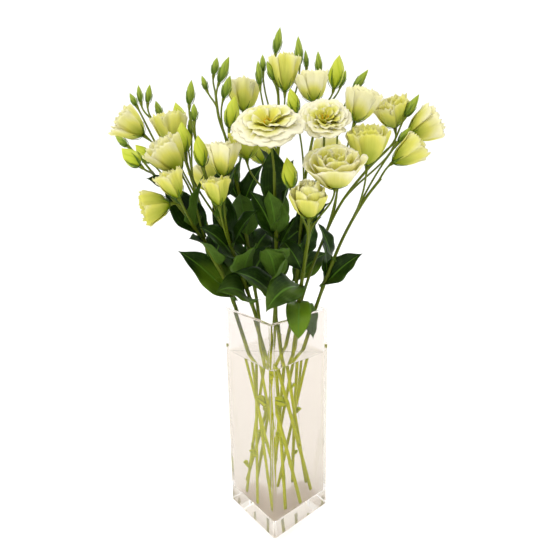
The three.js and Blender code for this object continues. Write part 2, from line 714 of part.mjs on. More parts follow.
function squareShape(side, corner) {
  const half = side / 2;
  const shape = new THREE.Shape();
  shape.moveTo(half, -half + corner);
  shape.lineTo(half, half - corner);
  shape.absarc(half - corner, half - corner, corner, 0, Math.PI / 2);
  shape.lineTo(-half + corner, half);
  shape.absarc(-half + corner, half - corner, corner, Math.PI / 2, Math.PI);
  shape.lineTo(-half, -half + corner);
  shape.absarc(-half + corner, -half + corner, corner, Math.PI, 1.5 * Math.PI);
  shape.lineTo(half - corner, -half);
  shape.absarc(half - corner, -half + corner, corner, 1.5 * Math.PI, 2 * Math.PI);
  return shape;
}

function prism(side, corner, low, high, round = 0) {
  const geometry = new THREE.ExtrudeGeometry(squareShape(side - 2 * round, corner), {
    depth: high - low - 2 * round,
    curveSegments: CORNER_STEPS,
    bevelEnabled: round > 0,
    bevelThickness: round,
    bevelSize: round,
    bevelSegments: 1,
  });
  return geometry.translate(0, 0, low + round);
}

function vaseGeometry() {
  const outer = solidOf(prism(VASE_SIDE, VASE_CORNER, 0, VASE_HEIGHT, RIM_ROUND));
  const inner = prism(VASE_SIDE - 2 * VASE_WALL, INNER_CORNER, VASE_FLOOR, CUT_HEIGHT);
  return outerSkin(outer.subtract(solidOf(inner)));
}

function waterGeometry() {
  const side = VASE_SIDE - 2 * VASE_WALL - 2 * GAP;
  const block = prism(side, INNER_CORNER, VASE_FLOOR + GAP, WATER_LEVEL);
  let water = solidOf(block);
  for (const hole of STEMS.flatMap(holesOf)) water = water.subtract(solidOf(hole));
  return outerSkin(water);
}

// Plain holes for the parts of a stem that stand in the water.
function holesOf(stem) {
  const main = mainLine(stem);
  const holes = [holeGeometry(main[0], main[2])];
  if (stem.side?.rim) {
    const side = sideLine(stem.side, main);
    holes.push(holeGeometry(side[0], side[2]));
  }
  return holes;
}

function holeGeometry(low, high) {
  const start = low.clone().lerp(high, -HOLE_DEPTH);
  return inVase(tubeGeometry([start, high], [HOLE_RADIUS, HOLE_RADIUS], STEM_SIDES));
}

// Assembly

function inVase(geometry) {
  return geometry.rotateZ(radians(BOUQUET_TURN));
}

function material(colour, roughness, options = {}) {
  return new THREE.MeshStandardMaterial({ color: colour, roughness, metalness: 0, ...options });
}

function named(name, geometry, looks) {
  const mesh = new THREE.Mesh(geometry, looks);
  mesh.name = name;
  return mesh;
}

// One leafy stem in one body: its lines, sprays, sepals, small buds and leaves.
function stemGeometry(stem, lines, heads, leaves) {
  const pieces = [stemTube(lines.main, STEM_RADIUS)];
  if (lines.side) pieces.push(stemTube(lines.side, SIDE_RADIUS));
  pieces.push(...heads.map((head) => sprayGeometry(lines[head.name], head)));
  pieces.push(...leaves.map(leafGeometry));
  return inVase(outerSkin(fuse(pieces)));
}

function stemTube(line, first) {
  return tubeGeometry(line, taper(line.length, first, STEM_TOP_RADIUS), STEM_SIDES);
}

// A spray with its head's sepals, and with the head itself where that is a small green bud.
function sprayGeometry(line, head) {
  const frame = headFrame(head);
  const ring = (radius, up) => {
    return Array.from({ length: SEPALS }, (_, corner) => {
      const angle = (2 * Math.PI * corner) / SEPALS;
      return frame(radius * Math.cos(angle), radius * Math.sin(angle), up);
    });
  };
  const points = line.slice(0, -1);
  const rings = matchedRings(points, taper(points.length, SPRAY_RADIUS, SPRAY_TOP_RADIUS), ring(1, 0));
  rings.push(ring(NECK_RADIUS, -NECK_LENGTH));
  const needles = { ring: rings.length, shapes: sepalShapes(head, frame) };
  if (HAS_OWN_NODE(head)) return ringGeometry([...rings, ring(RECEPTACLE_RADIUS, 0)], null, needles);
  const bud = SMALL_BUD.map(([height, share]) => ring((head.width / 2) * share, height * head.length));
  return ringGeometry([...rings, ...bud], frame(0, 0, head.length), needles);
}

// The middle section and the tip of each sepal of a head, clear of its petals.
function sepalShapes(head, frame) {
  const place = (bearing, out, up) => frame(out * Math.cos(bearing), out * Math.sin(bearing), up);
  const bearings = Array.from({ length: SEPALS }, (_, sepal) => ((sepal + 0.5) * 2 * Math.PI) / SEPALS);
  if (!HAS_OWN_NODE(head)) {
    return bearings.map((bearing) => {
      return { tip: place(bearing, head.width / 2 + SEPAL_SPREAD, BUD_SEPAL_UP[1] * head.length) };
    });
  }
  const [half, thick] = [SEPAL_WIDTH / 2, SEPAL_THICKNESS / 2];
  const [low, high] = sepalPlaces(head);
  return bearings.map((bearing) => {
    const across = place(bearing + Math.PI / 2, half, 0).sub(head.seat);
    const lower = place(bearing, low.out + thick, low.up - thick);
    const upper = place(bearing, low.out - thick, low.up + thick);
    const corners = [[lower, -1], [lower, 1], [upper, 1], [upper, -1]];
    const middle = corners.map(([point, side]) => point.clone().addScaledVector(across, side));
    return { middle, tip: place(bearing, high.out, high.up) };
  });
}

// How far out and how high the middle and the tip of a sepal are.
function sepalPlaces(head) {
  if (head.form === "bud") {
    return BUD_SEPAL_OUT.map((share, place) => {
      const out = (head.width / 2) * share + SEPAL_SPREAD;
      return { out, up: head.length * BUD_SEPAL_UP[place] };
    });
  }
  const { root, tip } = FORMS[head.form];
  const size = petalSize(head);
  return SEPAL_PLACES.map((share, place) => {
    const along = Math.min(share, SEPAL_LENGTH / size);
    const { reach, rise, slope } = bend(size, root, tip, along);
    const lift = SEPAL_CLEAR[place];
    return {
      out: CORE_RADIUS + reach + lift * Math.sin(slope),
      up: GAP + rise - lift * Math.cos(slope),
    };
  });
}

// Rings round a line, with the first corner of each on the side where the last ring has its own.
function matchedRings(points, radii, goal) {
  const middle = goal.reduce((sum, point) => sum.add(point), new THREE.Vector3()).divideScalar(goal.length);
  const wanted = goal[0].clone().sub(middle);
  return points.map((point, index) => {
    const along = direction(points, index);
    const side = wanted.clone().addScaledVector(along, -wanted.dot(along)).normalize();
    const across = along.clone().cross(side);
    return Array.from({ length: SEPALS }, (_, corner) => {
      const angle = (2 * Math.PI * corner) / SEPALS;
      return point.clone()
        .addScaledVector(side, radii[index] * Math.cos(angle))
        .addScaledVector(across, radii[index] * Math.sin(angle));
    });
  });
}

function headGeometry(head, index) {
  return head.form === "bud" ? spindleGeometry(head) : bloomGeometry(head, index);
}

function stemMeshes(stem) {
  const lines = linesOf(stem);
  const heads = stem.heads.map(headOf);
  const leaves = stem.leaves.map((row) => leafOf(row, lines.main));
  const meshes = [named(stem.name, stemGeometry(stem, lines, heads, leaves), material(STEM_COLOUR, 0.6))];
  heads.filter(HAS_OWN_NODE).forEach((head, index) => {
    const colour = head.form === "bud" ? BUD_COLOUR : PETAL_COLOUR;
    meshes.push(named(head.name, inVase(headGeometry(head, index)), material(colour, 0.6)));
  });
  heads.filter(HAS_HEART).forEach((head) => {
    const name = head.name.replace("bloom", "heart");
    meshes.push(named(name, inVase(heartGeometry(head)), material(HEART_COLOUR, 0.7)));
  });
  return meshes;
}

const bouquet = new THREE.Group();
const clear = { transparent: true, opacity: 0.35 };
bouquet.add(named("vase", vaseGeometry(), material(GLASS_COLOUR, 0.05, clear)));
bouquet.add(named("water", waterGeometry(), material(WATER_COLOUR, 0.05, clear)));
bouquet.add(...STEMS.flatMap(stemMeshes));

export default bouquet;
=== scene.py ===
"""Looks of a lisianthus bouquet in a tall square glass vase.

The file is laid out as a Blender add-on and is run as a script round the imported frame. Each piece
is modelled in millimetres from shaped grids, a cube or spheres, and is then brought to metres in
place.
"""

import math
import random

import bmesh
import bpy
from bpy.props import FloatProperty, FloatVectorProperty, PointerProperty
from mathutils import Matrix, Vector


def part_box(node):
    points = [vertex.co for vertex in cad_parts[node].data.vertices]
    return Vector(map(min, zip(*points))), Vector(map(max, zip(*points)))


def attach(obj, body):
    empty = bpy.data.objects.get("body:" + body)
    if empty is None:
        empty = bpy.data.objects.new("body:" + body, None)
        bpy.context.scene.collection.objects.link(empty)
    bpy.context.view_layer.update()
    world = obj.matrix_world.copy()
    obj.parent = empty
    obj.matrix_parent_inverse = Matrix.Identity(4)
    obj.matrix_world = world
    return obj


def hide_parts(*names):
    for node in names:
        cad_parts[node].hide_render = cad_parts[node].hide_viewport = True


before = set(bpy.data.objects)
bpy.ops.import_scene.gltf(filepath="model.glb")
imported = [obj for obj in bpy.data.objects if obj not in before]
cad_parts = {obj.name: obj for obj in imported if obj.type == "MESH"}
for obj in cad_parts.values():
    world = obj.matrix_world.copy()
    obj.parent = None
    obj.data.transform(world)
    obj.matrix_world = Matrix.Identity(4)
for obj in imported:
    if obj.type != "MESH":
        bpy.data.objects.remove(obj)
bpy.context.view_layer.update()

bl_info = {
    "name": "Lisianthus bouquet in a glass vase",
    "version": (1, 0, 0),
    "blender": (4, 5, 0),
    "location": "View3D > Sidebar > Bouquet",
    "description": "Models the petals, leaves, glass and water of a lisianthus bouquet",
    "category": "Object",
}

MM = 0.001
BODY = "root"

# The vase, in millimetres. Its side and height are read from the frame.
VASE_LOW, VASE_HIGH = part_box("vase")
VASE_SIDE = (VASE_HIGH.x - VASE_LOW.x) / MM
VASE_HEIGHT = (VASE_HIGH.z - VASE_LOW.z) / MM
WATER_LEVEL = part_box("water")[1].z / MM
VASE_WALL = 5.0
VASE_FLOOR = 24.0
VASE_CORNER = 3.5
INNER_CORNER = 2.0
RIM_ROUND = 1.2
BASE_ROUND = 1.6
INNER_ROUND = 1.8
WATER_WETTING = 0.2
MENISCUS = 1.4
# The water's edge falls away from the glass in two slopes: width and share of the climb of each.
MENISCUS_SLOPES = ((1.2, 0.7), (2.0, 0.3))
GLASS_IOR = 1.47
WATER_IOR = 1.33
# How much of the surroundings glass and water mirror, where 1 is all that real ones do.
CLEAR_SHEEN = (0.25, 0.25, 0.25)
# Light that has bent more often than this goes straight on.
MOST_BENDS = 4.5

# Clouded patterns, in clouds to the metre: 17 mm blotches on a stem, 11 mm mottles on a leaf, 45 mm
# clouds along the border of the painted light on the low leaves, 38 mm clouds on petals and 8 mm ones on
# buds.
STEM_BLOTCHES = 60.0
LEAF_MOTTLES = 90.0
LIT_BORDER_CLOUDS = 22.0
PETAL_CLOUDS = 26.0
BUD_CLOUDS = 120.0
# A petal is about 36 mm wide and has a vein every millimetre or so.
PETAL_VEINS = (34.0, 2.5, 1.0)
PETAL_GLOW = 0.36
# The angle that a leaf's veins run through from edge to edge: about ten turns, a vein for each.
VEIN_TURN = 62.0
# This scale gives a band texture 40 radians round a stem, which is six bands.
STEM_RIBS = 2.0
LEAF_SHADE = (0.0, 0.02, 0.0)
# Leaves are of the low colour below the first of these heights in metres, and of their own above
# the second. The low colour is painted light: the leaves round the rim are painted lighter, as if lit.
LIT_LOW_LEAVES = (0.29, 0.37)

# The bouquet's own frame has X to the right and Y to the back, and is turned in the vase.
BOUQUET_TURN = math.radians(-40)
FOOT_CLEAR = 1.0
NEAR_RIM = 0.96
STEM_RADIUS = 2.7
STEM_TOP_RADIUS = 1.7
SIDE_RADIUS = 2.2
NODE_SWELL = 0.28
NODE_REACH = 3.5
STEM_STEP = 5.0
SPRAY_RADIUS = 1.4
SPRAY_TOP_RADIUS = 1.1
SPRAY_PULL = 0.38
SPRAY_STEPS = 14
NECK_LENGTH = 3.0
RECEPTACLE_RADIUS = 2.6
TUBE_SIDES = 10

PETALS = 5
CORE_RADIUS = 2.2
CORE_STEP = 0.3
CUP_FLOOR = 0.8
FLOOR_STEP = 0.45
EDGE_START = 1 / 3
PLEAT_DEPTH = 0.22
PETAL_GRID = (18, 18)
GOLDEN_TURN = math.radians(137.5)
CORE_LEAST = 0.8
# Petals differ in length, ruffle and flare by these shares, in tip slope by degrees and in bearing
# by radians. Each whorl further in flares a little less.
LENGTH_SPREAD = (0.95, 1.02)
RUFFLE_SPREAD = (0.7, 1.3)
FLARE_SPREAD = (0.5, 1.2)
TIP_SPREAD = 5.0
BEARING_SPREAD = 0.07
FLARE_LOSS = 0.18
# Where along a petal its fringe, ruffle and flare start and its pleats come and stay.
FRINGE_START = 0.8
RUFFLE_START = 0.4
FLARE_START = 0.62
PLEATS_COME = (0.1, 0.6)
# Waves across half a petal, in half turns: two for the fringe, two for the ruffle, one for pleats.
FRINGE_WAVES = (7.0, 12.4)
RUFFLE_WAVES = (1.7, 4.3)
PLEAT_WAVES = 5.6
# A petal's width at its root and how much of it is lost by its edge, in its share of the round.
PETAL_OVERLAP = 1.3
OVERLAP_LOSS = 0.1

# How far each bloom's petal colours run from lime towards cream: the pattern of its petals is drawn
# longer the higher this is.
CREAM_REACH = {
    "bloom_top_right": 1.5,
    "bloom_right_high": 1.35,
    "bloom_middle_upright": 1.3,
    "bloom_far_right": 1.15,
    "bloom_low_middle": 0.9,
    "bloom_low_right": 0.85,
    "bloom_top": 0.9,
    "bloom_left_top": 0.85,
    "bloom_right_inner": 0.85,
    "bloom_left_inner": 0.8,
    "bloom_right_swelling": 0.8,
    "bloom_left_hanging": 0.75,
    "bloom_middle_low": 0.7,
    "bloom_behind_front": 0.7,
    "bloom_right_middle": 0.7,
}

SEPALS = 5
SEPAL_LENGTH = 20.0
SEPAL_REACH = 0.42
SEPAL_HALF = 1.3
SEPAL_THICKNESS = 0.7
SEPAL_GRID = (4, 9)
SEPAL_KEEL = 0.35
SMALL_SEPAL = 0.75
SEPAL_ON_BUD = 0.56

LEAF_THICKNESS = 0.6
LEAF_FOLD = 0.35
LEAF_SEAT = 1.0
LEAF_CLASP = 5.0
LEAF_FULLNESS = 1.1
LEAF_GRID = (12, 22)
LEAF_ROOT = 0.14
LEAF_ROOT_LOSS = 0.45
LEAF_TWISTED_BY = 0.35
LEAF_DRIFT = 0.05
LEAF_WAVES = (2.2, 3.4)
STUB_WAVE = 0.4
STUB_SLOPES = (40, 10)

BUD_GRID = (50, 22)
BUD_TWIST = 1.5
BUD_STEP = 0.13
BUD_SEAM = 0.05
BUD_LIFT = 0.3
SPRIG_FULLNESS = 0.9
# The profile of a bud before it is brought to 1 at its widest.
BUD_ROOT, BUD_TIP, BUD_WIDEST = 0.8, 1.1, 0.2744

# The pistil: radius of its ovary and style at each height, half sizes, tilt and place of the two
# lobes of its stigma, their tones and the pollen's, the line of a stamen, and the radius of its
# anther at each height.
HEART_BASE = CUP_FLOOR + 2 * FLOOR_STEP + 0.7
OVARY = {0: 1.3, 1: 1.8, 3: 2.2, 5.5: 2.0, 7.5: 1.4, 9: 0.8, 11: 0.6, 13: 0.6}
LOBE_SIZE = (1.5, 1.0, 2.1)
LOBE_TILT = 0.5
LOBE_OUT = 0.9
LOBE_UP = 14.3
HEART_TONES = ("#D6CF3A", "#A89C1E", "#F6D928", "#E0AE1E")
OVARY_SHADE = (0.1, 0.2, 0.0)
STAMEN_POINTS = 6
STAMEN_STEP = 2.2
STAMEN_ROOT = 1.2
STAMEN_SPREAD = 2.2
STAMEN_RADIUS = 0.3
ANTHER_LEAN = 0.1
ANTHER = {-1.6: 0.4, -0.8: 0.8, 0: 0.85, 0.8: 0.75, 1.6: 0.35}

# Each form has the petals' shortfall at their edges, the flare of their rims, the depth of their
# ruffles and the step from one petal's edge to the next in millimetres, the depth of the fringe as
# a share of the length, and its whorls from the outside in: share of the petal length, root slope
# and tip slope in degrees, and number of petals.
FORMS = {
    "bell": {
        "notch": 0.13, "flare": 3.0, "ruffle": 1.9, "lift": 1.4, "fringe": 0.04,
        "whorls": [(1.0, 30, 100, 5), (0.98, 40, 112, 4), (0.94, 52, 124, 3)],
    },
    "tube": {
        "notch": 0.13, "flare": 2.4, "ruffle": 1.5, "lift": 1.2, "fringe": 0.04,
        "whorls": [(1.0, 44, 100, 5), (0.97, 54, 114, 3)],
    },
    "rose": {
        "notch": 0.12, "flare": 1.8, "ruffle": 1.0, "lift": 1.8, "fringe": 0.02,
        "whorls": [
            (0.8, 24, 96, 5), (0.9, 31, 108, 5), (0.99, 40, 121, 4), (1.0, 52, 134, 4),
            (0.97, 64, 146, 3),
        ],
    },
    "cup": {
        "notch": 0.13, "flare": 3.0, "ruffle": 1.0, "lift": 2.0, "fringe": 0.014,
        "whorls": [
            (1.0, 22, 78, 5), (0.96, 32, 86, 5), (0.9, 43, 96, 5), (0.82, 54, 108, 4),
            (0.72, 64, 122, 3),
        ],
    },
    "bowl": {
        "notch": 0.14, "flare": 3.0, "ruffle": 1.2, "lift": 1.8, "fringe": 0.025,
        "whorls": [
            (1.0, 42, 10, 5), (0.94, 46, 16, 5), (0.85, 51, 26, 5), (0.73, 57, 40, 5),
            (0.58, 64, 58, 4),
        ],
    },
    "open": {
        "notch": 0.14, "flare": 2.0, "ruffle": 1.3, "lift": 1.8, "fringe": 0.028,
        "whorls": [
            (1.0, 47, -30, 5), (0.95, 50, -20, 5), (0.87, 54, -8, 5), (0.76, 60, 8, 5),
            (0.61, 67, 34, 4),
        ],
    },
}

# Each stem repeats the layout of the frame, in millimetres in the bouquet's own frame: foot and
# rim point, the route above the rim, its heads as form, name, carrier, height, seat, facing,
# length and width, its leaves as height, bearing, length, width, root slope, tip slope and roll,
# and the stubs of leaves stripped off under water as height, bearing, length and roll.
STEMS = [
    {
        "name": "stem_far_left",
        "foot": (27, -30),
        "rim": (-53, 0),
        "route": [
            (-66, -12, 345), (-88, -26, 395), (-108, -34, 432), (-124, -38, 455), (-139, -44, 478),
        ],
        "heads": [
            ("bud", "bloom_left_swelling", "main", 470, (-141, -76, 483), (-0.7, 0, 0.7), 26, 17),
            ("sprig", "sprig_left_low", "main", 474, (-163, -45, 506), (-0.75, 0, 0.65), 17, 9),
            ("bell", "bloom_far_left", "main", 412, (-156, -4, 521), (-0.78, -0.2, 0.6), 32, 35),
            ("bud", "bloom_left_back_swelling", "main", 404, (-146, -14, 489), (-0.65, 0, 0.75), 27, 16),
            ("bell", "bloom_left_nodding", "main", 372, (-107, -44, 477), (-0.5, -0.25, 0.83), 38, 35),
            ("tube", "bloom_left_inner", "main", 402, (-104, -70, 449), (-0.35, -0.2, 0.9), 30, 24),
            ("bell", "bloom_left_hanging", "main", 416, (-117, -58, 442), (-0.93, -0.25, -0.15), 30, 30),
            ("sprig", "sprig_left_high", "bloom_far_left", 498, (-164, 4, 556), (-0.44, 0, 0.9), 16, 8),
            ("bell", "bloom_left_top", "side", 430, (-125, 18, 510), (-0.1, -0.1, 0.99), 38, 31),
            ("sprig", "sprig_left_a", "side", 508, (-158, 32, 563), (0.2, 0, 0.97), 23, 9),
            ("sprig", "sprig_left_b", "sprig_left_a", 540, (-170, 44, 566), (-0.1, 0.1, 1), 22, 8),
            ("sprig", "sprig_left_c", "side", 500, (-145, 42, 548), (-0.3, 0.2, 0.95), 22, 10),
            ("bud", "bloom_left_high_swelling", "side", 440, (-119, 48, 538), (-0.25, 0, 0.95), 29, 16),
            ("sprig", "sprig_left_d", "side", 450, (-104, 26, 524), (0, 0, 1), 22, 9),
        ],
        "side": {
            "fork": 345,
            "route": [(-84, 6, 400), (-100, 16, 450), (-113, 26, 490), (-128, 36, 520)],
        },
        "leaves": [
            (311, 197, 98, 43, 60, 34, -55), (330, 120, 70, 32, 66, 24, -30),
            (362, 250, 74, 35, 62, 10, -30), (370, 60, 68, 33, 62, 20, 15),
            (398, 170, 78, 35, 70, 40, -55), (412, 300, 72, 32, 72, 50, 50),
            (438, 235, 58, 24, 60, 10, -55),
        ],
        "stubs": [(118, 220, 10, -50), (86, 60, 8, 40)],
    },
    {
        "name": "stem_left",
        "foot": (38, 3),
        "rim": (-26, -26),
        "route": [(-40, -34, 350), (-56, -38, 400), (-68, -36, 440), (-82, -28, 480), (-92, -18, 520)],
        "heads": [
            ("bud", "bloom_left_green", "main", 394, (-102, -28, 498), (-0.06, -0.06, 1), 35, 18),
            ("bud", "bloom_middle_green", "main", 384, (-79, -50, 482), (-0.1, -0.1, 1), 34, 17),
            ("tube", "bloom_middle_upright", "main", 372, (-56, -56, 470), (0.05, -0.12, 0.99), 38, 30),
            ("tube", "bloom_middle_low", "main", 352, (-60, -72, 440), (-0.1, -0.15, 0.98), 30, 22),
            ("sprig", "sprig_middle_a", "main", 516, (-98, -8, 554), (0.15, 0, 0.99), 28, 11),
            ("sprig", "sprig_middle_b", "main", 468, (-90, -26, 534), (0.05, -0.1, 1), 19, 9),
        ],
        "leaves": [
            (316, 238, 78, 37, 56, -8, -55), (334, 40, 68, 32, 70, 30, 50),
            (350, 290, 74, 35, 64, 16, 30), (366, 220, 74, 35, 66, 24, -55),
            (386, 330, 62, 28, 70, 34, 50), (394, 120, 72, 27, 76, 50, -30),
            (420, 310, 70, 32, 74, 50, 50), (440, 60, 58, 24, 70, 30, 50),
        ],
        "stubs": [(172, 200, 30, -65), (104, 300, 9, 40)],
    },
    {
        "name": "stem_back_left",
        "foot": (3, -38),
        "rim": (-26, 26),
        "route": [
            (-33, 32, 350), (-41, 37, 410), (-51, 40, 470), (-62, 41, 520), (-70, 42, 546),
            (-74, 50, 578),
        ],
        "heads": [
            ("bell", "bloom_back_high", "main", 430, (-40, 80, 558), (0.03, 0.1, 1), 39, 39),
            ("bud", "bloom_high_green", "main", 440, (-55, 22, 530), (0.22, -0.05, 0.97), 39, 19),
            ("sprig", "sprig_high_a", "main", 574, (-76, 55, 600), (0.26, 0, 0.97), 22, 11),
            ("sprig", "sprig_high_b", "main", 550, (-68, 43, 588), (0.42, 0, 0.91), 34, 13),
            ("sprig", "sprig_high_c", "main", 500, (-62, 34, 568), (0.36, -0.1, 0.93), 28, 13),
            ("sprig", "sprig_high_d", "main", 555, (-85, 48, 581), (-0.3, 0, 0.95), 18, 8),
            ("bell", "bloom_back_left", "main", 395, (-84, 84, 452), (-0.45, 0.45, 0.77), 42, 44),
        ],
        "leaves": [
            (322, 130, 74, 35, 58, 0, -55), (338, 235, 72, 32, 66, 20, -55),
            (356, 55, 70, 32, 64, 10, 50), (374, 160, 72, 36, 68, 24, -55),
            (392, 265, 72, 35, 72, 40, 0), (426, 350, 70, 32, 76, 50, 50),
            (432, 190, 66, 24, 74, 46, -55), (462, 300, 50, 18, 74, 46, 50),
        ],
        "stubs": [(128, 200, 12, -50), (70, 240, 8, -40)],
    },
    {
        "name": "stem_front",
        "foot": (24, 29),
        "rim": (0, -39),
        "route": [(1, -42, 350), (2, -45, 400), (1, -50, 440), (1, -59, 475)],
        "heads": [
            ("open", "bloom_front", "main", 468, (-4, -72, 515), (-0.1, -0.56, 0.82), 24, 82),
            ("bell", "bloom_behind_front", "main", 430, (-31, -26, 490), (-0.05, 0.1, 0.99), 31, 36),
        ],
        "leaves": [
            (331, 292, 60, 30, 74, 44, 50), (322, 205, 70, 33, 62, 14, -45),
            (350, 260, 66, 30, 66, 20, 0), (381, 340, 54, 16, 66, 55, 50), (362, 273, 62, 28, 60, 4, 0),
            (406, 318, 60, 32, 76, 68, 50), (396, 175, 68, 28, 76, 50, -55),
            (436, 100, 70, 30, 82, 72, 0), (404, 255, 58, 31, 80, 50, -20),
        ],
        "stubs": [(196, 320, 14, 50)],
    },
    {
        "name": "stem_back",
        "foot": (-24, -29),
        "rim": (0, 39),
        "route": [(1, 42, 350), (3, 46, 420), (5, 51, 490), (8, 57, 550), (7, 68, 592), (5, 82, 622)],
        "heads": [
            ("sprig", "sprig_top", "main", 618, (5, 86, 632), (0.2, 0.05, 0.98), 34, 13),
            ("sprig", "sprig_top_left_a", "main", 500, (-12, 60, 604), (0, 0, 1), 21, 9),
            ("sprig", "sprig_top_left_b", "main", 480, (-16, 48, 586), (-0.06, 0, 1), 29, 10),
            ("sprig", "sprig_top_left_c", "main", 500, (2, 42, 590), (-0.35, -0.1, 0.93), 24, 10),
            ("tube", "bloom_top", "main", 470, (16, 44, 576), (0, -0.05, 1), 43, 26),
            ("sprig", "sprig_top_right_a", "main", 505, (36, 66, 613), (-0.04, 0, 1), 35, 12),
            ("sprig", "sprig_top_right_b", "sprig_top_right_a", 592, (46, 74, 612), (-0.06, 0.1, 1), 22, 7),
            ("bell", "bloom_back", "main", 420, (-16, 104, 490), (-0.1, 0.5, 0.85), 42, 42),
        ],
        "leaves": [
            (324, 80, 72, 32, 58, -4, 0), (342, 115, 70, 32, 66, 20, -30),
            (362, 10, 70, 30, 64, 14, 50), (384, 110, 66, 28, 66, 20, -30),
            (400, 275, 70, 33, 74, 44, 0), (440, 40, 62, 22, 74, 46, 50),
            (448, 230, 68, 30, 76, 48, -55),
        ],
        "stubs": [(92, 190, 18, -60)],
    },
    {
        "name": "stem_back_right",
        "foot": (-38, -3),
        "rim": (26, 26),
        "route": [(31, 29, 350), (36, 31, 410), (42, 34, 470), (52, 38, 520), (62, 46, 552)],
        "heads": [
            ("bell", "bloom_top_right", "main", 440, (52, 32, 561), (-0.07, 0.1, 0.99), 34, 38),
            ("bud", "bloom_top_small", "main", 430, (29, 22, 546), (-0.22, 0, 0.97), 31, 16),
            ("sprig", "sprig_right_a", "main", 490, (62, 66, 602), (-0.05, 0.05, 1), 28, 10),
            ("bud", "bloom_top_far_right", "main", 548, (80, 54, 580), (0.17, 0, 0.98), 42, 21),
            ("sprig", "sprig_right_b", "main", 540, (92, 72, 588), (0.33, 0.1, 0.95), 21, 9),
            ("bell", "bloom_back_right", "main", 430, (70, 92, 480), (0.3, 0.5, 0.8), 42, 44),
        ],
        "leaves": [
            (328, 30, 66, 30, 60, 6, 50), (348, 85, 64, 29, 66, 20, 0), (372, 320, 60, 25, 70, 36, 50),
            (398, 60, 58, 24, 68, 26, 50),
        ],
        "stubs": [(66, 205, 20, -60), (98, 240, 12, -40)],
    },
    {
        "name": "stem_front_right",
        "foot": (-3, 38),
        "rim": (27, -27),
        "route": [(33, -40, 350), (39, -48, 395), (45, -50, 430), (53, -46, 470), (58, -40, 496)],
        "heads": [
            ("bowl", "bloom_front_right", "main", 486, (58, -40, 524), (-0.04, -0.74, 0.67), 30, 62),
            ("cup", "bloom_low_right", "main", 400, (65, -82, 458), (-0.1, -0.46, 0.87), 32, 60),
            ("rose", "bloom_low_middle", "main", 348, (36, -96, 428), (-0.03, -0.3, 0.95), 33, 39),
            ("bud", "bloom_low_green", "main", 392, (19, -78, 457), (-0.14, -0.1, 0.98), 33, 17),
        ],
        "leaves": [
            (316, 267, 58, 28, 10, -115, 0), (312, 45, 60, 28, -30, -100, -75),
            (337, 228, 70, 35, 22, -50, -45), (356, 150, 54, 22, 70, 36, -55),
            (378, 60, 44, 17, 70, 34, 50), (414, 330, 36, 13, 66, 34, 50),
        ],
        "stubs": [(150, 340, 14, 55), (76, 20, 9, 50)],
    },
    {
        "name": "stem_right",
        "foot": (-27, 31),
        "rim": (53, -2),
        "route": [(68, -4, 345), (89, -4, 397), (112, -8, 440), (130, -14, 466)],
        "heads": [
            ("tube", "bloom_right_swelling", "main", 458, (142, -20, 484), (0.82, -0.15, 0.55), 38, 25),
            ("bell", "bloom_right_middle", "main", 362, (105, -50, 481), (-0.05, -0.3, 0.95), 39, 42),
            ("bell", "bloom_right_high", "side", 385, (98, -6, 532), (0.3, -0.1, 0.94), 36, 36),
            ("sprig", "sprig_right_c", "side", 405, (101, 24, 574), (0.6, 0, 0.78), 29, 11),
            ("bell", "bloom_right_inner", "side", 432, (154, 22, 528), (-0.35, -0.35, 0.87), 34, 35),
            ("sprig", "sprig_right_d", "side", 510, (160, 0, 538), (0.5, -0.1, 0.87), 29, 12),
            ("bell", "bloom_far_right", "side", 506, (167, 6, 517), (0.86, -0.15, 0.48), 36, 36),
            ("sprig", "sprig_right_e", "main", 400, (150, -12, 508), (0.6, -0.1, 0.8), 21, 9),
        ],
        "side": {
            "fork": 170,
            "rim": (32, 5),
            "route": [(52, 10, 360), (84, 18, 430), (118, 18, 475), (144, 12, 502)],
        },
        "leaves": [
            (328, 350, 68, 32, 56, 30, 50), (344, 100, 64, 25, 74, 52, 50),
            (362, 200, 56, 23, 78, 58, -55),
        ],
        "stubs": [(150, 110, 10, -40)],
    },
]


# Colours


def linear(hex_colour):
    """An sRGB hex colour as the linear RGBA that Blender's sockets take."""
    parts = [int(hex_colour[i : i + 2], 16) / 255 for i in (1, 3, 5)]
    return (*[c / 12.92 if c <= 0.04045 else ((c + 0.055) / 1.055) ** 2.4 for c in parts], 1.0)


def colour_property(name, description, hex_colour):
    colour = linear(hex_colour)[:3]
    return FloatVectorProperty(
        name=name, description=description, default=colour, subtype="COLOR", min=0, max=1
    )


def amount(name, description, default, low, high, **kind):
    return FloatProperty(
        name=name, description=description, default=default, min=low, max=high, **kind
    )


class VaseSettings(bpy.types.PropertyGroup):
    glass: colour_property("Glass", "Tint of the clear glass", "#ECE8E5")
    water: colour_property("Water", "Tint of the water", "#FFFFFC")
    meniscus: amount(
        "Meniscus", "How far the water climbs the glass",
        default=MENISCUS * MM, low=0, high=0.005, unit="LENGTH",
    )


class FoliageSettings(bpy.types.PropertyGroup):
    upper: colour_property("Leaf", "Upper face of a leaf", "#182D04")
    # The low colour is painted light: leaves near the rim are drawn lighter, as if lit.
    low: colour_property("Low leaf", "Upper face of a leaf near the vase's rim", "#5A7614")
    under: colour_property("Leaf underside", "Waxy underside of a leaf", "#46611A")
    rib: colour_property("Rib", "Midrib and veins", "#4F7320")
    sepal: colour_property("Sepal", "Narrow leaves under each bloom", "#58741E")
    small_bud: colour_property("Small bud", "Tightly rolled green buds", "#98A82A")
    # Stem colours: above the rim the stems are painted dark as shade of the foliage over them; in the vase
    # their yellow-green is partly their own and partly painted light.
    stem: colour_property("Stem", "Stems and sprays above the vase", "#32480F")
    wet_stem: colour_property("Stem in water", "Stems in the vase", "#C0C800")
    wave: amount(
        "Wave", "Depth of the waves along a leaf's edge",
        default=0.0014, low=0, high=0.01, unit="LENGTH",
    )


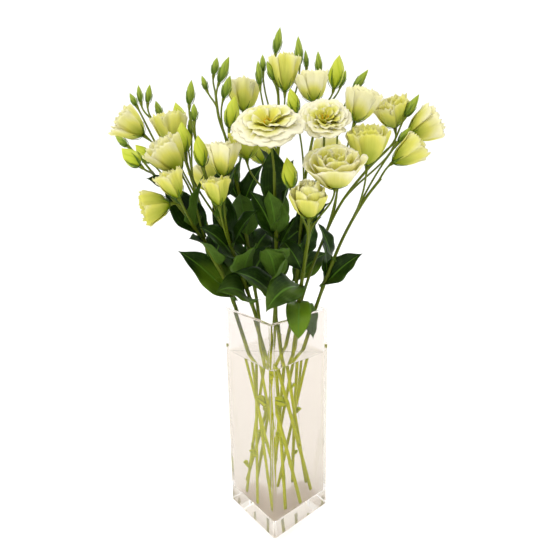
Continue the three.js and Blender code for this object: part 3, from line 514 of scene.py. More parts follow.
class PetalSettings(bpy.types.PropertyGroup):
    cream: colour_property("Cream", "Edge of an open petal", "#FFFBE2")
    butter: colour_property("Butter", "Middle of a closed petal", "#EDEA76")
    throat: colour_property("Throat", "Root of an open petal", "#F4E422")
    lime: colour_property("Lime", "Root of a closed petal", "#A2B414")
    bud: colour_property("Bud", "Rolled petals of a swelling bud", "#BFC53C")
    thickness: amount(
        "Thickness", "Thickness of a petal at its middle",
        default=0.0005, low=0.0002, high=0.002, unit="LENGTH",
    )
    ruffle: amount(
        "Ruffle", "Depth of the ruffles, as a share of the form's own",
        default=1.0, low=0, high=3, subtype="FACTOR",
    )


class StudioSettings(bpy.types.PropertyGroup):
    floor: colour_property("Floor", "Matte paper sweep", "#FDFDFC")
    distance: amount(
        "Distance", "Camera distance in front of the vase's middle",
        default=0.5462, low=0.2, high=5, unit="LENGTH",
    )
    height: amount(
        "Height", "Camera height above the floor",
        default=0.4692, low=0, high=3, unit="LENGTH",
    )
    shift: amount(
        "Sideways", "Camera place to the right of the vase's middle",
        default=0.0016, low=-1, high=1, unit="LENGTH",
    )
    pitch: amount(
        "Pitch", "How far the camera looks down",
        default=math.radians(13.04), low=0, high=1.5, subtype="ANGLE",
    )
    roll: amount(
        "Roll", "Turn of the camera about its own line of sight",
        default=math.radians(-0.89), low=-0.5, high=0.5, subtype="ANGLE",
    )
    lens: amount(
        "Lens", "Focal length on a 36 mm sensor",
        default=27.88, low=10, high=200, unit="CAMERA",
    )
    sky: amount(
        "Sky", "Strength of the white surroundings",
        default=1.03, low=0, high=10,
    )
    key: amount(
        "Key", "Power of the key light",
        default=17.0, low=0, high=500, unit="POWER",
    )


# Nodes and materials


def add_node(tree, kind, inputs=None, links=None, stops=None, **settings):
    """A node with its settings, socket values, links and colour stops.

    A link that is given a node starts at the node's first output."""
    node = tree.nodes.new("ShaderNode" + kind)
    for key, value in settings.items():
        setattr(node, key, value)
    for socket, value in (inputs or {}).items():
        node.inputs[socket].default_value = value
    for socket, source in (links or {}).items():
        output = source.outputs[0] if isinstance(source, bpy.types.Node) else source
        tree.links.new(output, node.inputs[socket])
    if stops:
        elements = node.color_ramp.elements
        for index in (0, -1):
            elements[index].position = stops[index][0]
            elements[index].color = opaque(stops[index][1])
        for position, colour in stops[1:-1]:
            elements.new(position).color = opaque(colour)
    return node


def start_material(name):
    material = bpy.data.materials.new(name)
    material.use_nodes = True
    material.node_tree.nodes.clear()
    return material, material.node_tree


def opaque(colour):
    return (*colour, 1.0)


def between(first, second, share):
    return tuple(a + (b - a) * share for a, b in zip(first, second))


def limits(low, high, at_low, at_high):
    """Values of a range node: what it reads from and to, and what it gives at each."""
    return {"From Min": low, "From Max": high, "To Min": at_low, "To Max": at_high}


def strayed(tree, start, cloud, reach):
    """A value that strays from its start to either side, by up to a reach, as a cloud does."""
    stray = add_node(tree, "Math", {1: 2 * reach, 2: -reach}, {0: cloud}, operation="MULTIPLY_ADD")
    return add_node(tree, "Math", links={0: start, 1: stray}, operation="ADD")


def from_middle(tree, across):
    """Distance from the midline of a petal or leaf, whose edges are 0.5 from it."""
    centred = add_node(tree, "Math", {1: 0.5}, {0: across}, operation="SUBTRACT")
    return add_node(tree, "Math", links={0: centred}, operation="ABSOLUTE")


def clear_material(name, colour, ior):
    """A clear body. Lamps shine straight through it, and so does light that has bent many times."""
    material, tree = start_material(name)
    body = add_node(
        tree,
        "BsdfPrincipled",
        {
            "Base Color": opaque(colour),
            "Roughness": 0.0,
            "IOR": ior,
            "Transmission Weight": 1.0,
            "Specular Tint": opaque(CLEAR_SHEEN),
        },
    )
    straight = add_node(tree, "BsdfTransparent", {"Color": opaque(colour)})
    path = add_node(tree, "LightPath").outputs
    trapped = add_node(tree, "Math", {1: MOST_BENDS}, {0: path["Ray Depth"]}, operation="GREATER_THAN")
    passes = add_node(tree, "Math", links={0: path["Is Shadow Ray"], 1: trapped}, operation="MAXIMUM")
    mixed = add_node(tree, "MixShader", links={0: passes, 1: body, 2: straight})
    add_node(tree, "OutputMaterial", links={"Surface": mixed})
    return material


def glass_material(looks):
    # Pressed soda-lime glass, fire polished: sharp bright edges, dark lines where thick corners
    # turn the view, and almost no colour of its own.
    return clear_material("Clear pressed glass", looks.glass, GLASS_IOR)


def water_material(looks):
    # Tap water: it only bends what stands in it.
    return clear_material("Clear water", looks.water, WATER_IOR)


def stem_material(looks):
    # Waxy herbaceous stem: dull sheen, yellow-green below the rim, partly its own colour and partly painted
    # light, and dark green above it, where the dark is painted shade of the foliage over it.
    # Six soft ribs run along it, drawn 1.5 to 3 mm apart, coarser than real ones, to show.
    material, tree = start_material("Waxy green stem")
    place = add_node(tree, "TexCoord").outputs
    parts = add_node(tree, "SeparateXYZ", links={0: place["Object"]}).outputs
    blotch = add_node(
        tree,
        "TexNoise",
        {"Scale": STEM_BLOTCHES, "Detail": 3.0, "Roughness": 0.6},
        {"Vector": place["Object"]},
    )
    height = strayed(tree, parts["Z"], blotch, 0.06)
    # Colour by height: darker towards the foot, yellow-green in the vase (partly painted light), and dark
    # green above the rim as painted shade of the foliage.
    tone = add_node(
        tree,
        "ValToRGB",
        links={0: height},
        stops=[
            (0.0, between(looks.wet_stem, looks.stem, 0.3)),
            (0.14, looks.wet_stem),
            (0.2, looks.wet_stem),
            (0.29, between(looks.stem, looks.wet_stem, 0.12)),
            (0.6, between(looks.stem, looks.wet_stem, 0.2)),
        ],
    )
    ribs = add_node(
        tree,
        "TexWave",
        {"Scale": STEM_RIBS, "Distortion": 1.2, "Detail": 2.0},
        {"Vector": place["UV"]},
        bands_direction="X",
    )
    relief = add_node(
        tree, "Bump", {"Strength": 0.35, "Distance": 0.0004}, {"Height": ribs.outputs["Fac"]}
    )
    skin = add_node(
        tree,
        "BsdfPrincipled",
        {
            "Roughness": 0.46,
            "Specular IOR Level": 0.22,
            "Subsurface Weight": 0.12,
            "Subsurface Radius": (0.6, 1.0, 0.3),
            "Subsurface Scale": 0.001,
        },
        {"Base Color": tone, "Normal": relief},
    )
    add_node(tree, "OutputMaterial", links={"Surface": skin})
    return material


def leaf_material(name, colour, lit_low_colour, rib, roughness, vein_strength, glow):
    """A leaf face: a pale midrib, five lengthwise veins a side, and a mottled waxy skin.

    Leaves near the vase's rim are painted lighter in the low colour, as if lit, and the border of that
    painted light strays a little, so leaves differ a little from each other."""
    material, tree = start_material(name)
    place = add_node(tree, "TexCoord").outputs
    parts = add_node(tree, "SeparateXYZ", links={0: place["UV"]}).outputs
    offside = from_middle(tree, parts["X"])
    midrib = add_node(
        tree,
        "MapRange",
        limits(0.012, 0.05, 1.0, 0.0),
        {"Value": offside},
        interpolation_type="SMOOTHSTEP",
    )
    veins = add_node(tree, "Math", {1: VEIN_TURN}, {0: offside}, operation="MULTIPLY")
    beside = add_node(tree, "Math", links={0: veins}, operation="COSINE")
    fine = add_node(
        tree,
        "MapRange",
        limits(0.82, 1.0, 0.0, vein_strength),
        {"Value": beside},
        interpolation_type="SMOOTHSTEP",
    )
    line = add_node(tree, "Math", links={0: midrib, 1: fine}, operation="MAXIMUM")
    mottle = add_node(
        tree,
        "TexNoise",
        {"Scale": LEAF_MOTTLES, "Detail": 5.0, "Roughness": 0.65},
        {"Vector": place["Object"]},
    )
    skin_tone = add_node(
        tree,
        "ValToRGB",
        links={0: mottle},
        stops=[
            (0.3, between(colour, LEAF_SHADE, 0.35)),
            (0.52, colour),
            (0.72, between(colour, rib, 0.3)),
        ],
    )
    height = add_node(tree, "SeparateXYZ", links={0: place["Object"]}).outputs
    lit_border_cloud = add_node(tree, "TexNoise", {"Scale": LIT_BORDER_CLOUDS, "Detail": 1.0}, {"Vector": place["Object"]})
    # Painted light: leaves low down near the rim take the lighter low colour, as if lit.
    lit_near_rim = add_node(
        tree,
        "MapRange",
        limits(*LIT_LOW_LEAVES, 1.0, 0.0),
        {"Value": strayed(tree, height["Z"], lit_border_cloud, 0.08)},
        interpolation_type="SMOOTHSTEP",
    )
    lit_blade_tone = add_node(
        tree,
        "Mix",
        {"B": opaque(lit_low_colour)},
        {"Factor": lit_near_rim, "A": skin_tone},
        data_type="RGBA",
    )
    tone = add_node(
        tree,
        "Mix",
        {"B": opaque(rib)},
        {"Factor": line, "A": lit_blade_tone.outputs["Result"]},
        data_type="RGBA",
    )
    relief = add_node(tree, "Bump", {"Strength": 0.5, "Distance": 0.0006}, {"Height": line})
    skin = add_node(
        tree,
        "BsdfPrincipled",
        {
            "Roughness": roughness,
            "Specular IOR Level": 0.14,
            "Subsurface Weight": glow,
            "Subsurface Radius": (0.5, 1.0, 0.2),
            "Subsurface Scale": 0.0012,
        },
        {"Base Color": tone.outputs["Result"], "Normal": relief},
    )
    add_node(tree, "OutputMaterial", links={"Surface": skin})
    return material


def petal_material(name, stops):
    """A petal face: its colour runs from root to edge, along fine veins 1 mm apart that fan out. Its sides
    are painted paler, partly its own paler rim and partly painted highlight, and its midline a little
    greener.
    """
    material, tree = start_material(name)
    place = add_node(tree, "TexCoord").outputs
    parts = add_node(tree, "SeparateXYZ", links={0: place["UV"]}).outputs
    stretched = add_node(tree, "Mapping", {"Scale": PETAL_VEINS}, {"Vector": place["UV"]})
    veins = add_node(
        tree, "TexNoise", {"Scale": 1.0, "Detail": 4.0, "Roughness": 0.6}, {"Vector": stretched}
    )
    cloud = add_node(
        tree, "TexNoise", {"Scale": PETAL_CLOUDS, "Detail": 2.0}, {"Vector": place["Object"]}
    )
    along = strayed(tree, parts["Y"], veins, 0.08)
    along = strayed(tree, along, cloud, 0.25)
    # Paler sides, partly the petal's own rim and partly painted highlight, and a greener midline of its
    # own.
    rim_tone_and_highlight = add_node(
        tree,
        "MapRange",
        limits(0.1, 0.48, -0.07, 0.13),
        {"Value": from_middle(tree, parts["X"])},
        interpolation_type="SMOOTHSTEP",
    )
    paler = add_node(tree, "Math", links={0: along, 1: rim_tone_and_highlight}, operation="ADD")
    tone = add_node(tree, "ValToRGB", links={0: paler}, stops=stops)
    relief = add_node(tree, "Bump", {"Strength": 0.3, "Distance": 0.0005}, {"Height": veins})
    skin = add_node(
        tree,
        "BsdfPrincipled",
        {"Roughness": 0.6, "Specular IOR Level": 0.2},
        {"Base Color": tone, "Normal": relief},
    )
    shining_through = add_node(tree, "BsdfTranslucent", links={"Color": tone, "Normal": relief})
    thin = add_node(tree, "MixShader", {0: PETAL_GLOW}, {1: skin, 2: shining_through})
    add_node(tree, "OutputMaterial", links={"Surface": thin})
    return material


def open_petal_materials(looks):
    # Open petal: matte satin skin, cream white with a yellow throat and a lime back. The throat's yellow
    # and the lime reach far up the petal, partly their own colour and partly painted shade deep in the
    # bloom.
    outside = [
        (0.02, looks.lime),
        (0.3, between(looks.lime, looks.butter, 0.5)),
        (0.56, between(looks.butter, looks.cream, 0.1)),
        (0.88, looks.cream),
    ]
    inside = [
        (0.2, looks.throat),
        (0.36, between(looks.throat, looks.butter, 0.5)),
        (0.52, looks.butter),
        (0.78, looks.cream),
    ]
    faces = {"Open petal, outer face": outside, "Open petal, inner face": inside}
    return [petal_material(name, stops) for name, stops in faces.items()]


def closed_petal_materials(looks):
    # Half-closed petal: firmer, lime at the root and butter yellow up to a paler edge. The lime and butter
    # reach far up, partly their own colour and partly painted shade inside the bell.
    outside = [
        (0.06, looks.lime),
        (0.34, between(looks.lime, looks.butter, 0.5)),
        (0.6, looks.butter),
        (0.98, between(looks.butter, looks.cream, 0.75)),
    ]
    inside = [
        (0.0, looks.lime),
        (0.4, looks.butter),
        (0.95, between(looks.butter, looks.cream, 0.9)),
    ]
    faces = {"Closed petal, outer face": outside, "Closed petal, inner face": inside}
    return [petal_material(name, stops) for name, stops in faces.items()]


def bud_material(name, low, high):
    """Rolled petals of a bud: smooth and waxy, darker at the root, with painted shade in the spiral seams
    where each petal's edge steps over the next.
    """
    material, tree = start_material(name)
    place = add_node(tree, "TexCoord").outputs
    parts = add_node(tree, "SeparateXYZ", links={0: place["UV"]}).outputs
    cloud = add_node(
        tree, "TexNoise", {"Scale": BUD_CLOUDS, "Detail": 3.0}, {"Vector": place["Object"]}
    )
    tone = add_node(
        tree,
        "ValToRGB",
        links={0: strayed(tree, parts["Y"], cloud, 0.15)},
        stops=[(0.05, low), (0.45, between(low, high, 0.7)), (0.95, high)],
    )
    round_bud = add_node(tree, "Math", {1: float(PETALS)}, {0: parts["X"]}, operation="MULTIPLY")
    spiral = add_node(
        tree, "Math", {1: BUD_TWIST}, {0: parts["Y"], 2: round_bud}, operation="MULTIPLY_ADD"
    )
    petal = add_node(tree, "Math", links={0: spiral}, operation="FRACT")
    # Painted shade: each seam, where one petal's edge steps over the next, is darkened towards the root
    # colour.
    painted_seam_shade = add_node(
        tree,
        "MapRange",
        limits(0.7, 1.0, 0.0, 0.75),
        {"Value": petal},
        interpolation_type="SMOOTHSTEP",
    )
    rolled = add_node(
        tree, "Mix", {"B": opaque(low)}, {"Factor": painted_seam_shade, "A": tone}, data_type="RGBA"
    )
    skin = add_node(
        tree,
        "BsdfPrincipled",
        {
            "Roughness": 0.5,
            "Specular IOR Level": 0.3,
            "Subsurface Weight": 0.3,
            "Subsurface Radius": (0.8, 1.0, 0.3),
            "Subsurface Scale": 0.002,
        },
        {"Base Color": rolled.outputs["Result"]},
    )
    add_node(tree, "OutputMaterial", links={"Surface": skin})
    return material


def grain_material(name, colour, dark, grain, roughness):
    """A velvety or mealy surface with grains of the given size in millimetres."""
    material, tree = start_material(name)
    place = add_node(tree, "TexCoord").outputs
    cells = add_node(
        tree, "TexVoronoi", {"Scale": 1 / (grain * MM)}, {"Vector": place["Object"]}
    )
    tone = add_node(tree, "ValToRGB", links={0: cells}, stops=[(0.1, colour), (0.7, dark)])
    relief = add_node(
        tree, "Bump", {"Strength": 0.4, "Distance": grain * MM / 2}, {"Height": cells}
    )
    skin = add_node(
        tree,
        "BsdfPrincipled",
        {"Roughness": roughness, "Subsurface Weight": 0.2, "Subsurface Scale": 0.001},
        {"Base Color": tone, "Normal": relief},
    )
    add_node(tree, "OutputMaterial", links={"Surface": skin})
    return material


# Shaping


def bend(length, root_slope, tip_slope, along):
    """Reach, rise and slope of a blade that bends evenly from one slope to another."""
    start = math.radians(root_slope)
    turn = math.radians(tip_slope) - start
    slope = start + turn * along
    reach = length * (math.sin(slope) - math.sin(start)) / turn
    rise = length * (math.cos(start) - math.cos(slope)) / turn
    return reach, rise, slope


def smoothstep(low, high, value):
    share = min(max((value - low) / (high - low), 0.0), 1.0)
    return share * share * (3 - 2 * share)


def shaped_grid(place, columns, rows, material_index):
    """A grid whose points are put where place(u, v) says, with u across and v along."""
    part = bmesh.new()
    part.loops.layers.uv.new("UVMap")
    bmesh.ops.create_grid(part, x_segments=columns, y_segments=rows, size=0.5, calc_uvs=True)
    for vert in part.verts:
        vert.co = place(vert.co.x + 0.5, vert.co.y + 0.5)
    for face in part.faces:
        face.material_index = material_index
    return part


def join_into(target, part):
    """Adds a part to a piece. Going through a mesh keeps its UV map and material indices."""
    mesh = bpy.data.meshes.new("part")
    part.to_mesh(mesh)
    part.free()
    target.from_mesh(mesh)
    bpy.data.meshes.remove(mesh)


def close_up(part):
    bmesh.ops.remove_doubles(part, verts=part.verts, dist=1e-4)
    bmesh.ops.recalc_face_normals(part, faces=part.faces)
    return part


def tube(points, radii, material_index, sides=TUBE_SIDES):
    """A round closed stalk along points, with a radius at each."""
    rings = []
    side = sideways(heading(points, 0))
    for index, point in enumerate(points):
        along = heading(points, index)
        side = (side - side.dot(along) * along).normalized()
        rings.append((point, side, along.cross(side), radii[index]))
    rings = [(*rings[0][:3], 0.0), *rings, (*rings[-1][:3], 0.0)]
    last = len(rings) - 1

    def place(u, v):
        point, side, across, radius = rings[round(v * last)]
        angle = 2 * math.pi * u
        return point + radius * (math.cos(angle) * side + math.sin(angle) * across)

    return close_up(shaped_grid(place, sides, last, material_index))


def heading(points, index):
    before = points[max(index - 1, 0)]
    after = points[min(index + 1, len(points) - 1)]
    return (after - before).normalized()


def round_axes(bearing):
    """The way out from an upright axis at a bearing, and the way across it."""
    outward = Vector((math.cos(bearing), math.sin(bearing), 0))
    return outward, Vector((-outward.y, outward.x, 0))


def sideways(along):
    helper = Vector((1, 0, 0)) if abs(along.z) > 0.9 else Vector((0, 0, 1))
    return helper.cross(along).normalized()


def blade(place, grid, thickness, upper_index, under_index):
    """A thin closed blade: two faces that meet at its edges. place(u, v, offset) lifts a point."""

    def face(sign):
        def lifted(u, v):
            body = max(0.0, 1 - abs(2 * u - 1) ** 4) * max(0.0, 1 - abs(2 * v - 1) ** 8)
            return place(u, v, sign * thickness / 2 * math.sqrt(body))

        return lifted

    part = shaped_grid(face(1), *grid, upper_index)
    join_into(part, shaped_grid(face(-1), *grid, under_index))
    return close_up(part)


# Heads


class Head:
    """One bloom or bud: its form, what carries it, its seat, the way it faces and its size."""

    def __init__(self, row):
        self.form, self.name, self.carrier, self.height, seat, facing, self.length, self.width = row
        self.seat = Vector(seat)
        self.facing = Vector(facing).normalized()
        self.random = random.Random(self.name)

    def matrix(self):
        """From the head's own frame, whose up is the way that it faces, to the bouquet's frame."""
        across = sideways(self.facing)
        other = self.facing.cross(across)
        turn = Matrix((across, other, self.facing)).transposed()
        return Matrix.Translation(self.seat) @ turn.to_4x4()

    def whorls(self):
        return FORMS[self.form]["whorls"]

    def petal_size(self):
        """Petal length: from the width of an open head, otherwise from its length."""
        _, root, tip, _ = self.whorls()[0]
        reach, rise, _ = bend(1, root, tip, 1)
        return (self.width / 2 - CORE_RADIUS) / reach if self.has_heart() else self.length / rise

    def has_node(self):
        return self.form != "sprig"

    def has_heart(self):
        return self.form in ("open", "cup", "bowl")


def heads_of(stem):
    return [Head(row) for row in stem["heads"]]


def heads_with_nodes():
    """Every bloom and swelling bud, each with its number on its stem."""
    for stem in STEMS:
        yield from enumerate(head for head in heads_of(stem) if head.has_node())


def petal_surface(head, order, petal, turn, ruffle_share):
    """Where a petal of a whorl lies: one edge under its neighbour, the other over the next one."""
    form = FORMS[head.form]
    share, root, tip, petals = head.whorls()[order]
    draw = head.random
    size = head.petal_size() * share * draw.uniform(*LENGTH_SPREAD)
    tip += draw.uniform(-TIP_SPREAD, TIP_SPREAD)
    middle = turn + 2 * math.pi * petal / petals + draw.uniform(-BEARING_SPREAD, BEARING_SPREAD)
    phase = draw.uniform(0, 2 * math.pi)
    ruffle = form["ruffle"] * draw.uniform(*RUFFLE_SPREAD) * ruffle_share
    flare = form["flare"] * draw.uniform(*FLARE_SPREAD) * (1 - FLARE_LOSS * order)
    core = max(CORE_RADIUS - CORE_STEP * order, CORE_LEAST)
    floor = CUP_FLOOR + FLOOR_STEP * order

    def place(u, v, offset):
        side = 2 * u - 1
        coarse, fine = [math.pi * side * waves for waves in FRINGE_WAVES]
        teeth = math.sin(coarse + 2 * phase) + math.sin(fine + phase)
        reached = v * (1 - form["notch"] * abs(side) ** 3 * v)
        reached *= 1 - form["fringe"] * (1 + teeth / 2) * smoothstep(FRINGE_START, 1.0, v)
        reach, rise, slope = bend(size, root, tip, reached)
        long, short = [math.pi * side * waves for waves in RUFFLE_WAVES]
        waves = math.sin(long + phase) + 0.4 * math.sin(short - phase)
        pleats = math.sin(PLEAT_WAVES * math.pi * side + 3 * phase) * smoothstep(*PLEATS_COME, v)
        lift = offset + side * form["lift"] * min(1, v / EDGE_START)
        lift += ruffle * waves * smoothstep(RUFFLE_START, 1.0, v)
        lift += flare * smoothstep(FLARE_START, 1.0, v) ** 2 + PLEAT_DEPTH * pleats
        out = core + reach + lift * math.sin(slope)
        up = floor + rise - lift * math.cos(slope)
        half = math.pi / petals * (PETAL_OVERLAP - OVERLAP_LOSS * v * v)
        bearing = middle + side * half
        return Vector((out * math.cos(bearing), out * math.sin(bearing), up))

    return place


def shorten_pattern(part, share):
    """An inner petal is shorter, and its colours run no further than its length."""
    layer = part.loops.layers.uv.active
    for face in part.faces:
        for loop in face.loops:
            loop[layer].uv.y *= share


def petals_of(head, index, thickness, ruffle_share):
    """All petals of a bloom in its own frame."""
    bloom = bmesh.new()
    for order, (share, _, _, petals) in enumerate(head.whorls()):
        turn = index * GOLDEN_TURN + order * math.pi / PETALS
        for petal in range(petals):
            surface = petal_surface(head, order, petal, turn, ruffle_share)
            part = blade(surface, PETAL_GRID, thickness, 0, 1)
            shorten_pattern(part, share * CREAM_REACH.get(head.name, 1.0))
            join_into(bloom, part)
    return bloom


def bud_profile(along):
    """Radius of a bud as a share of its widest: round below its middle, drawn out to its tip."""
    return along**BUD_ROOT * (1 - along) ** BUD_TIP / BUD_WIDEST


def rolled_bud(length, width, start, material_index):
    """Petals rolled round each other: each one's edge stands over the next in a long spiral."""

    def place(u, v):
        share = bud_profile(v)
        petal = (PETALS * (u + BUD_TWIST * v / PETALS)) % 1.0
        step = 1 - BUD_STEP * smoothstep(0.0, 1.0, petal) - BUD_SEAM * (petal < 0.04)
        radius = max(width / 2 * share * step, 0.0)
        angle = 2 * math.pi * u
        return Vector((radius * math.cos(angle), radius * math.sin(angle), start + v * length))

    return close_up(shaped_grid(place, *BUD_GRID, material_index))


def sepal_path(head):
    """Distance from the axis and height of a sepal, from its root to its tip, clear of the petals."""
    if head.has_node() and head.form != "bud":
        _, root, tip, _ = head.whorls()[0]
        size = head.petal_size()
        end = min(SEPAL_REACH, SEPAL_LENGTH / size)

        def beside_petals(v):
            # From 0.5 mm off the petals at its root to 1.9 mm off them at its tip.
            reach, rise, slope = bend(size, root, tip, end * v)
            lift = 0.5 + 0.9 * smoothstep(0.0, 0.4, v) + 0.5 * v * v
            return CORE_RADIUS - 0.6 + reach + lift * math.sin(slope), rise - lift * math.cos(slope)

        return beside_petals

    def beside_bud(v):
        along = SEPAL_ON_BUD * v
        fullness = 1.0 if head.has_node() else SPRIG_FULLNESS
        # Off the bud by 1.4 mm at its root, 0.1 mm on its way up and 1 mm at its tip.
        spread = 0.1 + 0.9 * v**4 + 1.3 * (1 - v) ** 3
        return fullness * head.width / 2 * bud_profile(along) + spread, along * head.length

    return beside_bud


def sepals_of(head, material_index):
    """The narrow pointed sepals under a head, in its own frame."""
    calyx = bmesh.new()
    path = sepal_path(head)
    widest = SEPAL_HALF * (1.0 if head.has_node() else SMALL_SEPAL)
    for sepal in range(SEPALS):
        outward, across = round_axes(2 * math.pi * (sepal + 0.5) / SEPALS)

        def place(u, v, offset):
            out, up = path(v)
            side = 2 * u - 1
            half = widest * (1 - v**1.8) * (0.9 + 0.5 * math.sin(math.pi * min(v * 1.6, 1)))
            keel = SEPAL_KEEL * half * (1 - abs(side))
            return outward * (out + keel + offset) + across * side * half + Vector((0, 0, up))

        join_into(calyx, blade(place, SEPAL_GRID, SEPAL_THICKNESS, material_index, material_index))
    return calyx


# Stems


def straight_part(start, rim):
    top = Vector((*rim, VASE_HEIGHT))
    return [start, start.lerp(top, NEAR_RIM), top]


def main_line(stem):
    foot = Vector((*stem["foot"], VASE_FLOOR + FOOT_CLEAR))
    return [*straight_part(foot, stem["rim"]), *[Vector(point) for point in stem["route"]]]


def side_line(side, main):
    start, _ = at_height(main, side["fork"])
    low = straight_part(start, side["rim"]) if "rim" in side else [start]
    return [*low, *[Vector(point) for point in side["route"]]]


def at_height(line, height):
    """The point of a line at a height, and the line's direction there."""
    index = next((i for i, point in enumerate(line) if point.z >= height), len(line) - 1)
    index = max(index, 1)
    low, high = line[index - 1], line[index]
    share = min(max((height - low.z) / (high.z - low.z), 0.0), 1.0)
    return low.lerp(high, share), (high - low).normalized()


def smooth_line(points):
    """Points every few millimetres on a smooth line through the given ones, and their own index."""
    line, places = [], []
    for index in range(len(points) - 1):
        start, end = points[index], points[index + 1]
        length = (end - start).length
        leave, arrive = heading(points, index) * length, heading(points, index + 1) * length
        if index == 0:
            leave = end - start
        steps = max(2, round(length / STEM_STEP))
        for step in range(steps):
            t = step / steps
            line.append(
                start * (2 * t**3 - 3 * t**2 + 1)
                + leave * (t**3 - 2 * t**2 + t)
                + end * (3 * t**2 - 2 * t**3)
                + arrive * (t**3 - t**2)
            )
            places.append(index + t)
    return [*line, points[-1]], [*places, len(points) - 1]


def spray_line(start, along, end, facing):
    """A spray leaves its carrier along it and ends in the way that its head faces."""
    pull = (end - start).length * SPRAY_PULL
    leave, arrive = start + along * pull, end - facing * pull
    line = []
    for step in range(SPRAY_STEPS + 1):
        t = step / SPRAY_STEPS
        line.append(
            start * (1 - t) ** 3
            + leave * 3 * t * (1 - t) ** 2
            + arrive * 3 * t**2 * (1 - t)
            + end * t**3
        )
    return line


def stalk(points, first_radius, nodes):
    """A stem along a smooth line, thinner towards its top and swollen at its leaf joints."""
    line, places = smooth_line(points)
    last = len(points) - 1
    radii = []
    for point, place in zip(line, places):
        radius = first_radius + (STEM_TOP_RADIUS - first_radius) * place / last
        swell = sum(math.exp(-(((point.z - node) / NODE_REACH) ** 2)) for node in nodes)
        radii.append(radius * (1 + NODE_SWELL * min(swell, 1)))
    return line, radii


def spray_radii(line, carries_bloom):
    """Radius along a spray: an even taper, and a receptacle that widens under a bloom."""
    length = (line[-1] - line[0]).length
    radii = []
    for index in range(len(line)):
        along = index / (len(line) - 1)
        radius = SPRAY_RADIUS + (SPRAY_TOP_RADIUS - SPRAY_RADIUS) * along
        widening = smoothstep(length - 2 * NECK_LENGTH, length, along * length)
        top = RECEPTACLE_RADIUS if carries_bloom else 0.9 * RECEPTACLE_RADIUS
        radii.append(radius + (top - radius) * widening)
    return radii


def leaf_half(width, along):
    """Half the width of a leaf: a clasping root, widest below its middle, and a drawn-out tip."""
    return width / 2 * math.sin(math.pi * (0.06 + 0.94 * along) ** 0.8) ** 0.85 * (1 - along**10)


def leaf_surface(line, row, wave, draw):
    height, bearing, length, width, root, tip, roll = row
    width *= LEAF_FULLNESS
    seat, _ = at_height(line, height)
    outward, across = round_axes(math.radians(bearing))
    phase = draw.uniform(0, 2 * math.pi)
    drift = draw.uniform(-LEAF_DRIFT, LEAF_DRIFT) * length
    waves = draw.uniform(*LEAF_WAVES)

    def place(u, v, offset):
        side = 2 * u - 1
        reach, rise, slope = bend(length, root, tip, v)
        half = max(leaf_half(width, v), 0.0)
        # The fold along the midrib is rounded off, so that it starts from nothing.
        fold = (math.sqrt(side * side + 0.02) - 0.14) * half * LEAF_FOLD
        ripple = wave * side * side * math.sin(2 * math.pi * waves * v + phase + side)
        lift = offset + fold + ripple * min(1, 4 * v) * min(1, 4 * (1 - v))
        root_share = max(0.0, 1 - v / LEAF_ROOT)
        clasp = LEAF_CLASP * side * side * root_share**2 * min(1, half / 6)
        middle = seat + outward * (LEAF_SEAT + reach - clasp) + Vector((0, 0, rise))
        upward = Vector((0, 0, math.cos(slope))) - outward * math.sin(slope)
        twist = math.radians(roll) * smoothstep(0.0, LEAF_TWISTED_BY, v)
        level = across * math.cos(twist) + upward * math.sin(twist)
        raised = upward * math.cos(twist) - across * math.sin(twist)
        beside = side * half * (1 - LEAF_ROOT_LOSS * root_share)
        return middle + across * drift * v * v + level * beside + raised * lift

    return place


def stub_row(height, bearing, length, roll):
    """A leaf that was stripped off under water leaves a short pale blade."""
    return (height, bearing, length, 0.36 * length + 3, *STUB_SLOPES, roll)


def leafy_stem(stem, wave):
    """A stem with its sprays, sepals, small buds and leaves, in the bouquet's frame."""
    heads = heads_of(stem)
    leaf_heights = [row[0] for row in stem["leaves"]] + [row[0] for row in stem["stubs"]]
    lines, body = {}, bmesh.new()
    lines["main"], radii = stalk(main_line(stem), STEM_RADIUS, leaf_heights)
    join_into(body, tube(lines["main"], radii, 0))
    if "side" in stem:
        side = side_line(stem["side"], main_line(stem))
        lines["side"], radii = stalk(side, SIDE_RADIUS, [stem["side"]["fork"]])
        join_into(body, tube(lines["side"], radii, 0))
    for head in heads:
        start, along = at_height(lines[head.carrier], head.height)
        line = spray_line(start, along, head.seat, head.facing)
        lines[head.name] = line
        join_into(body, tube(line, spray_radii(line, head.has_node()), 0))
        calyx = sepals_of(head, 1)
        if not head.has_node():
            join_into(calyx, rolled_bud(head.length, SPRIG_FULLNESS * head.width, 0.0, 2))
        bmesh.ops.transform(calyx, matrix=head.matrix(), verts=calyx.verts)
        join_into(body, calyx)
    draw = random.Random(stem["name"])
    for row in stem["leaves"]:
        surface = leaf_surface(lines["main"], row, wave, draw)
        join_into(body, blade(surface, LEAF_GRID, LEAF_THICKNESS, 3, 4))
    for row in stem["stubs"]:
        surface = leaf_surface(lines["main"], stub_row(*row), STUB_WAVE * wave, draw)
        join_into(body, blade(surface, SEPAL_GRID, LEAF_THICKNESS, 5, 5))
    return body


# The vase and its water


def square_block(side, low, high):
    part = bmesh.new()
    bmesh.ops.create_cube(part, size=1)
    bmesh.ops.scale(part, vec=(side, side, high - low), verts=part.verts)
    bmesh.ops.translate(part, vec=(0, 0, (low + high) / 2), verts=part.verts)
    return part


def upright_edges(part, half):
    """The vertical edges that stand at a square's corners, half a side from the middle."""
    return [
        edge
        for edge in part.edges
        if all(abs(abs(v.co.x) - half) < 0.01 and abs(abs(v.co.y) - half) < 0.01 for v in edge.verts)
        and abs(edge.verts[0].co.z - edge.verts[1].co.z) > 1
    ]


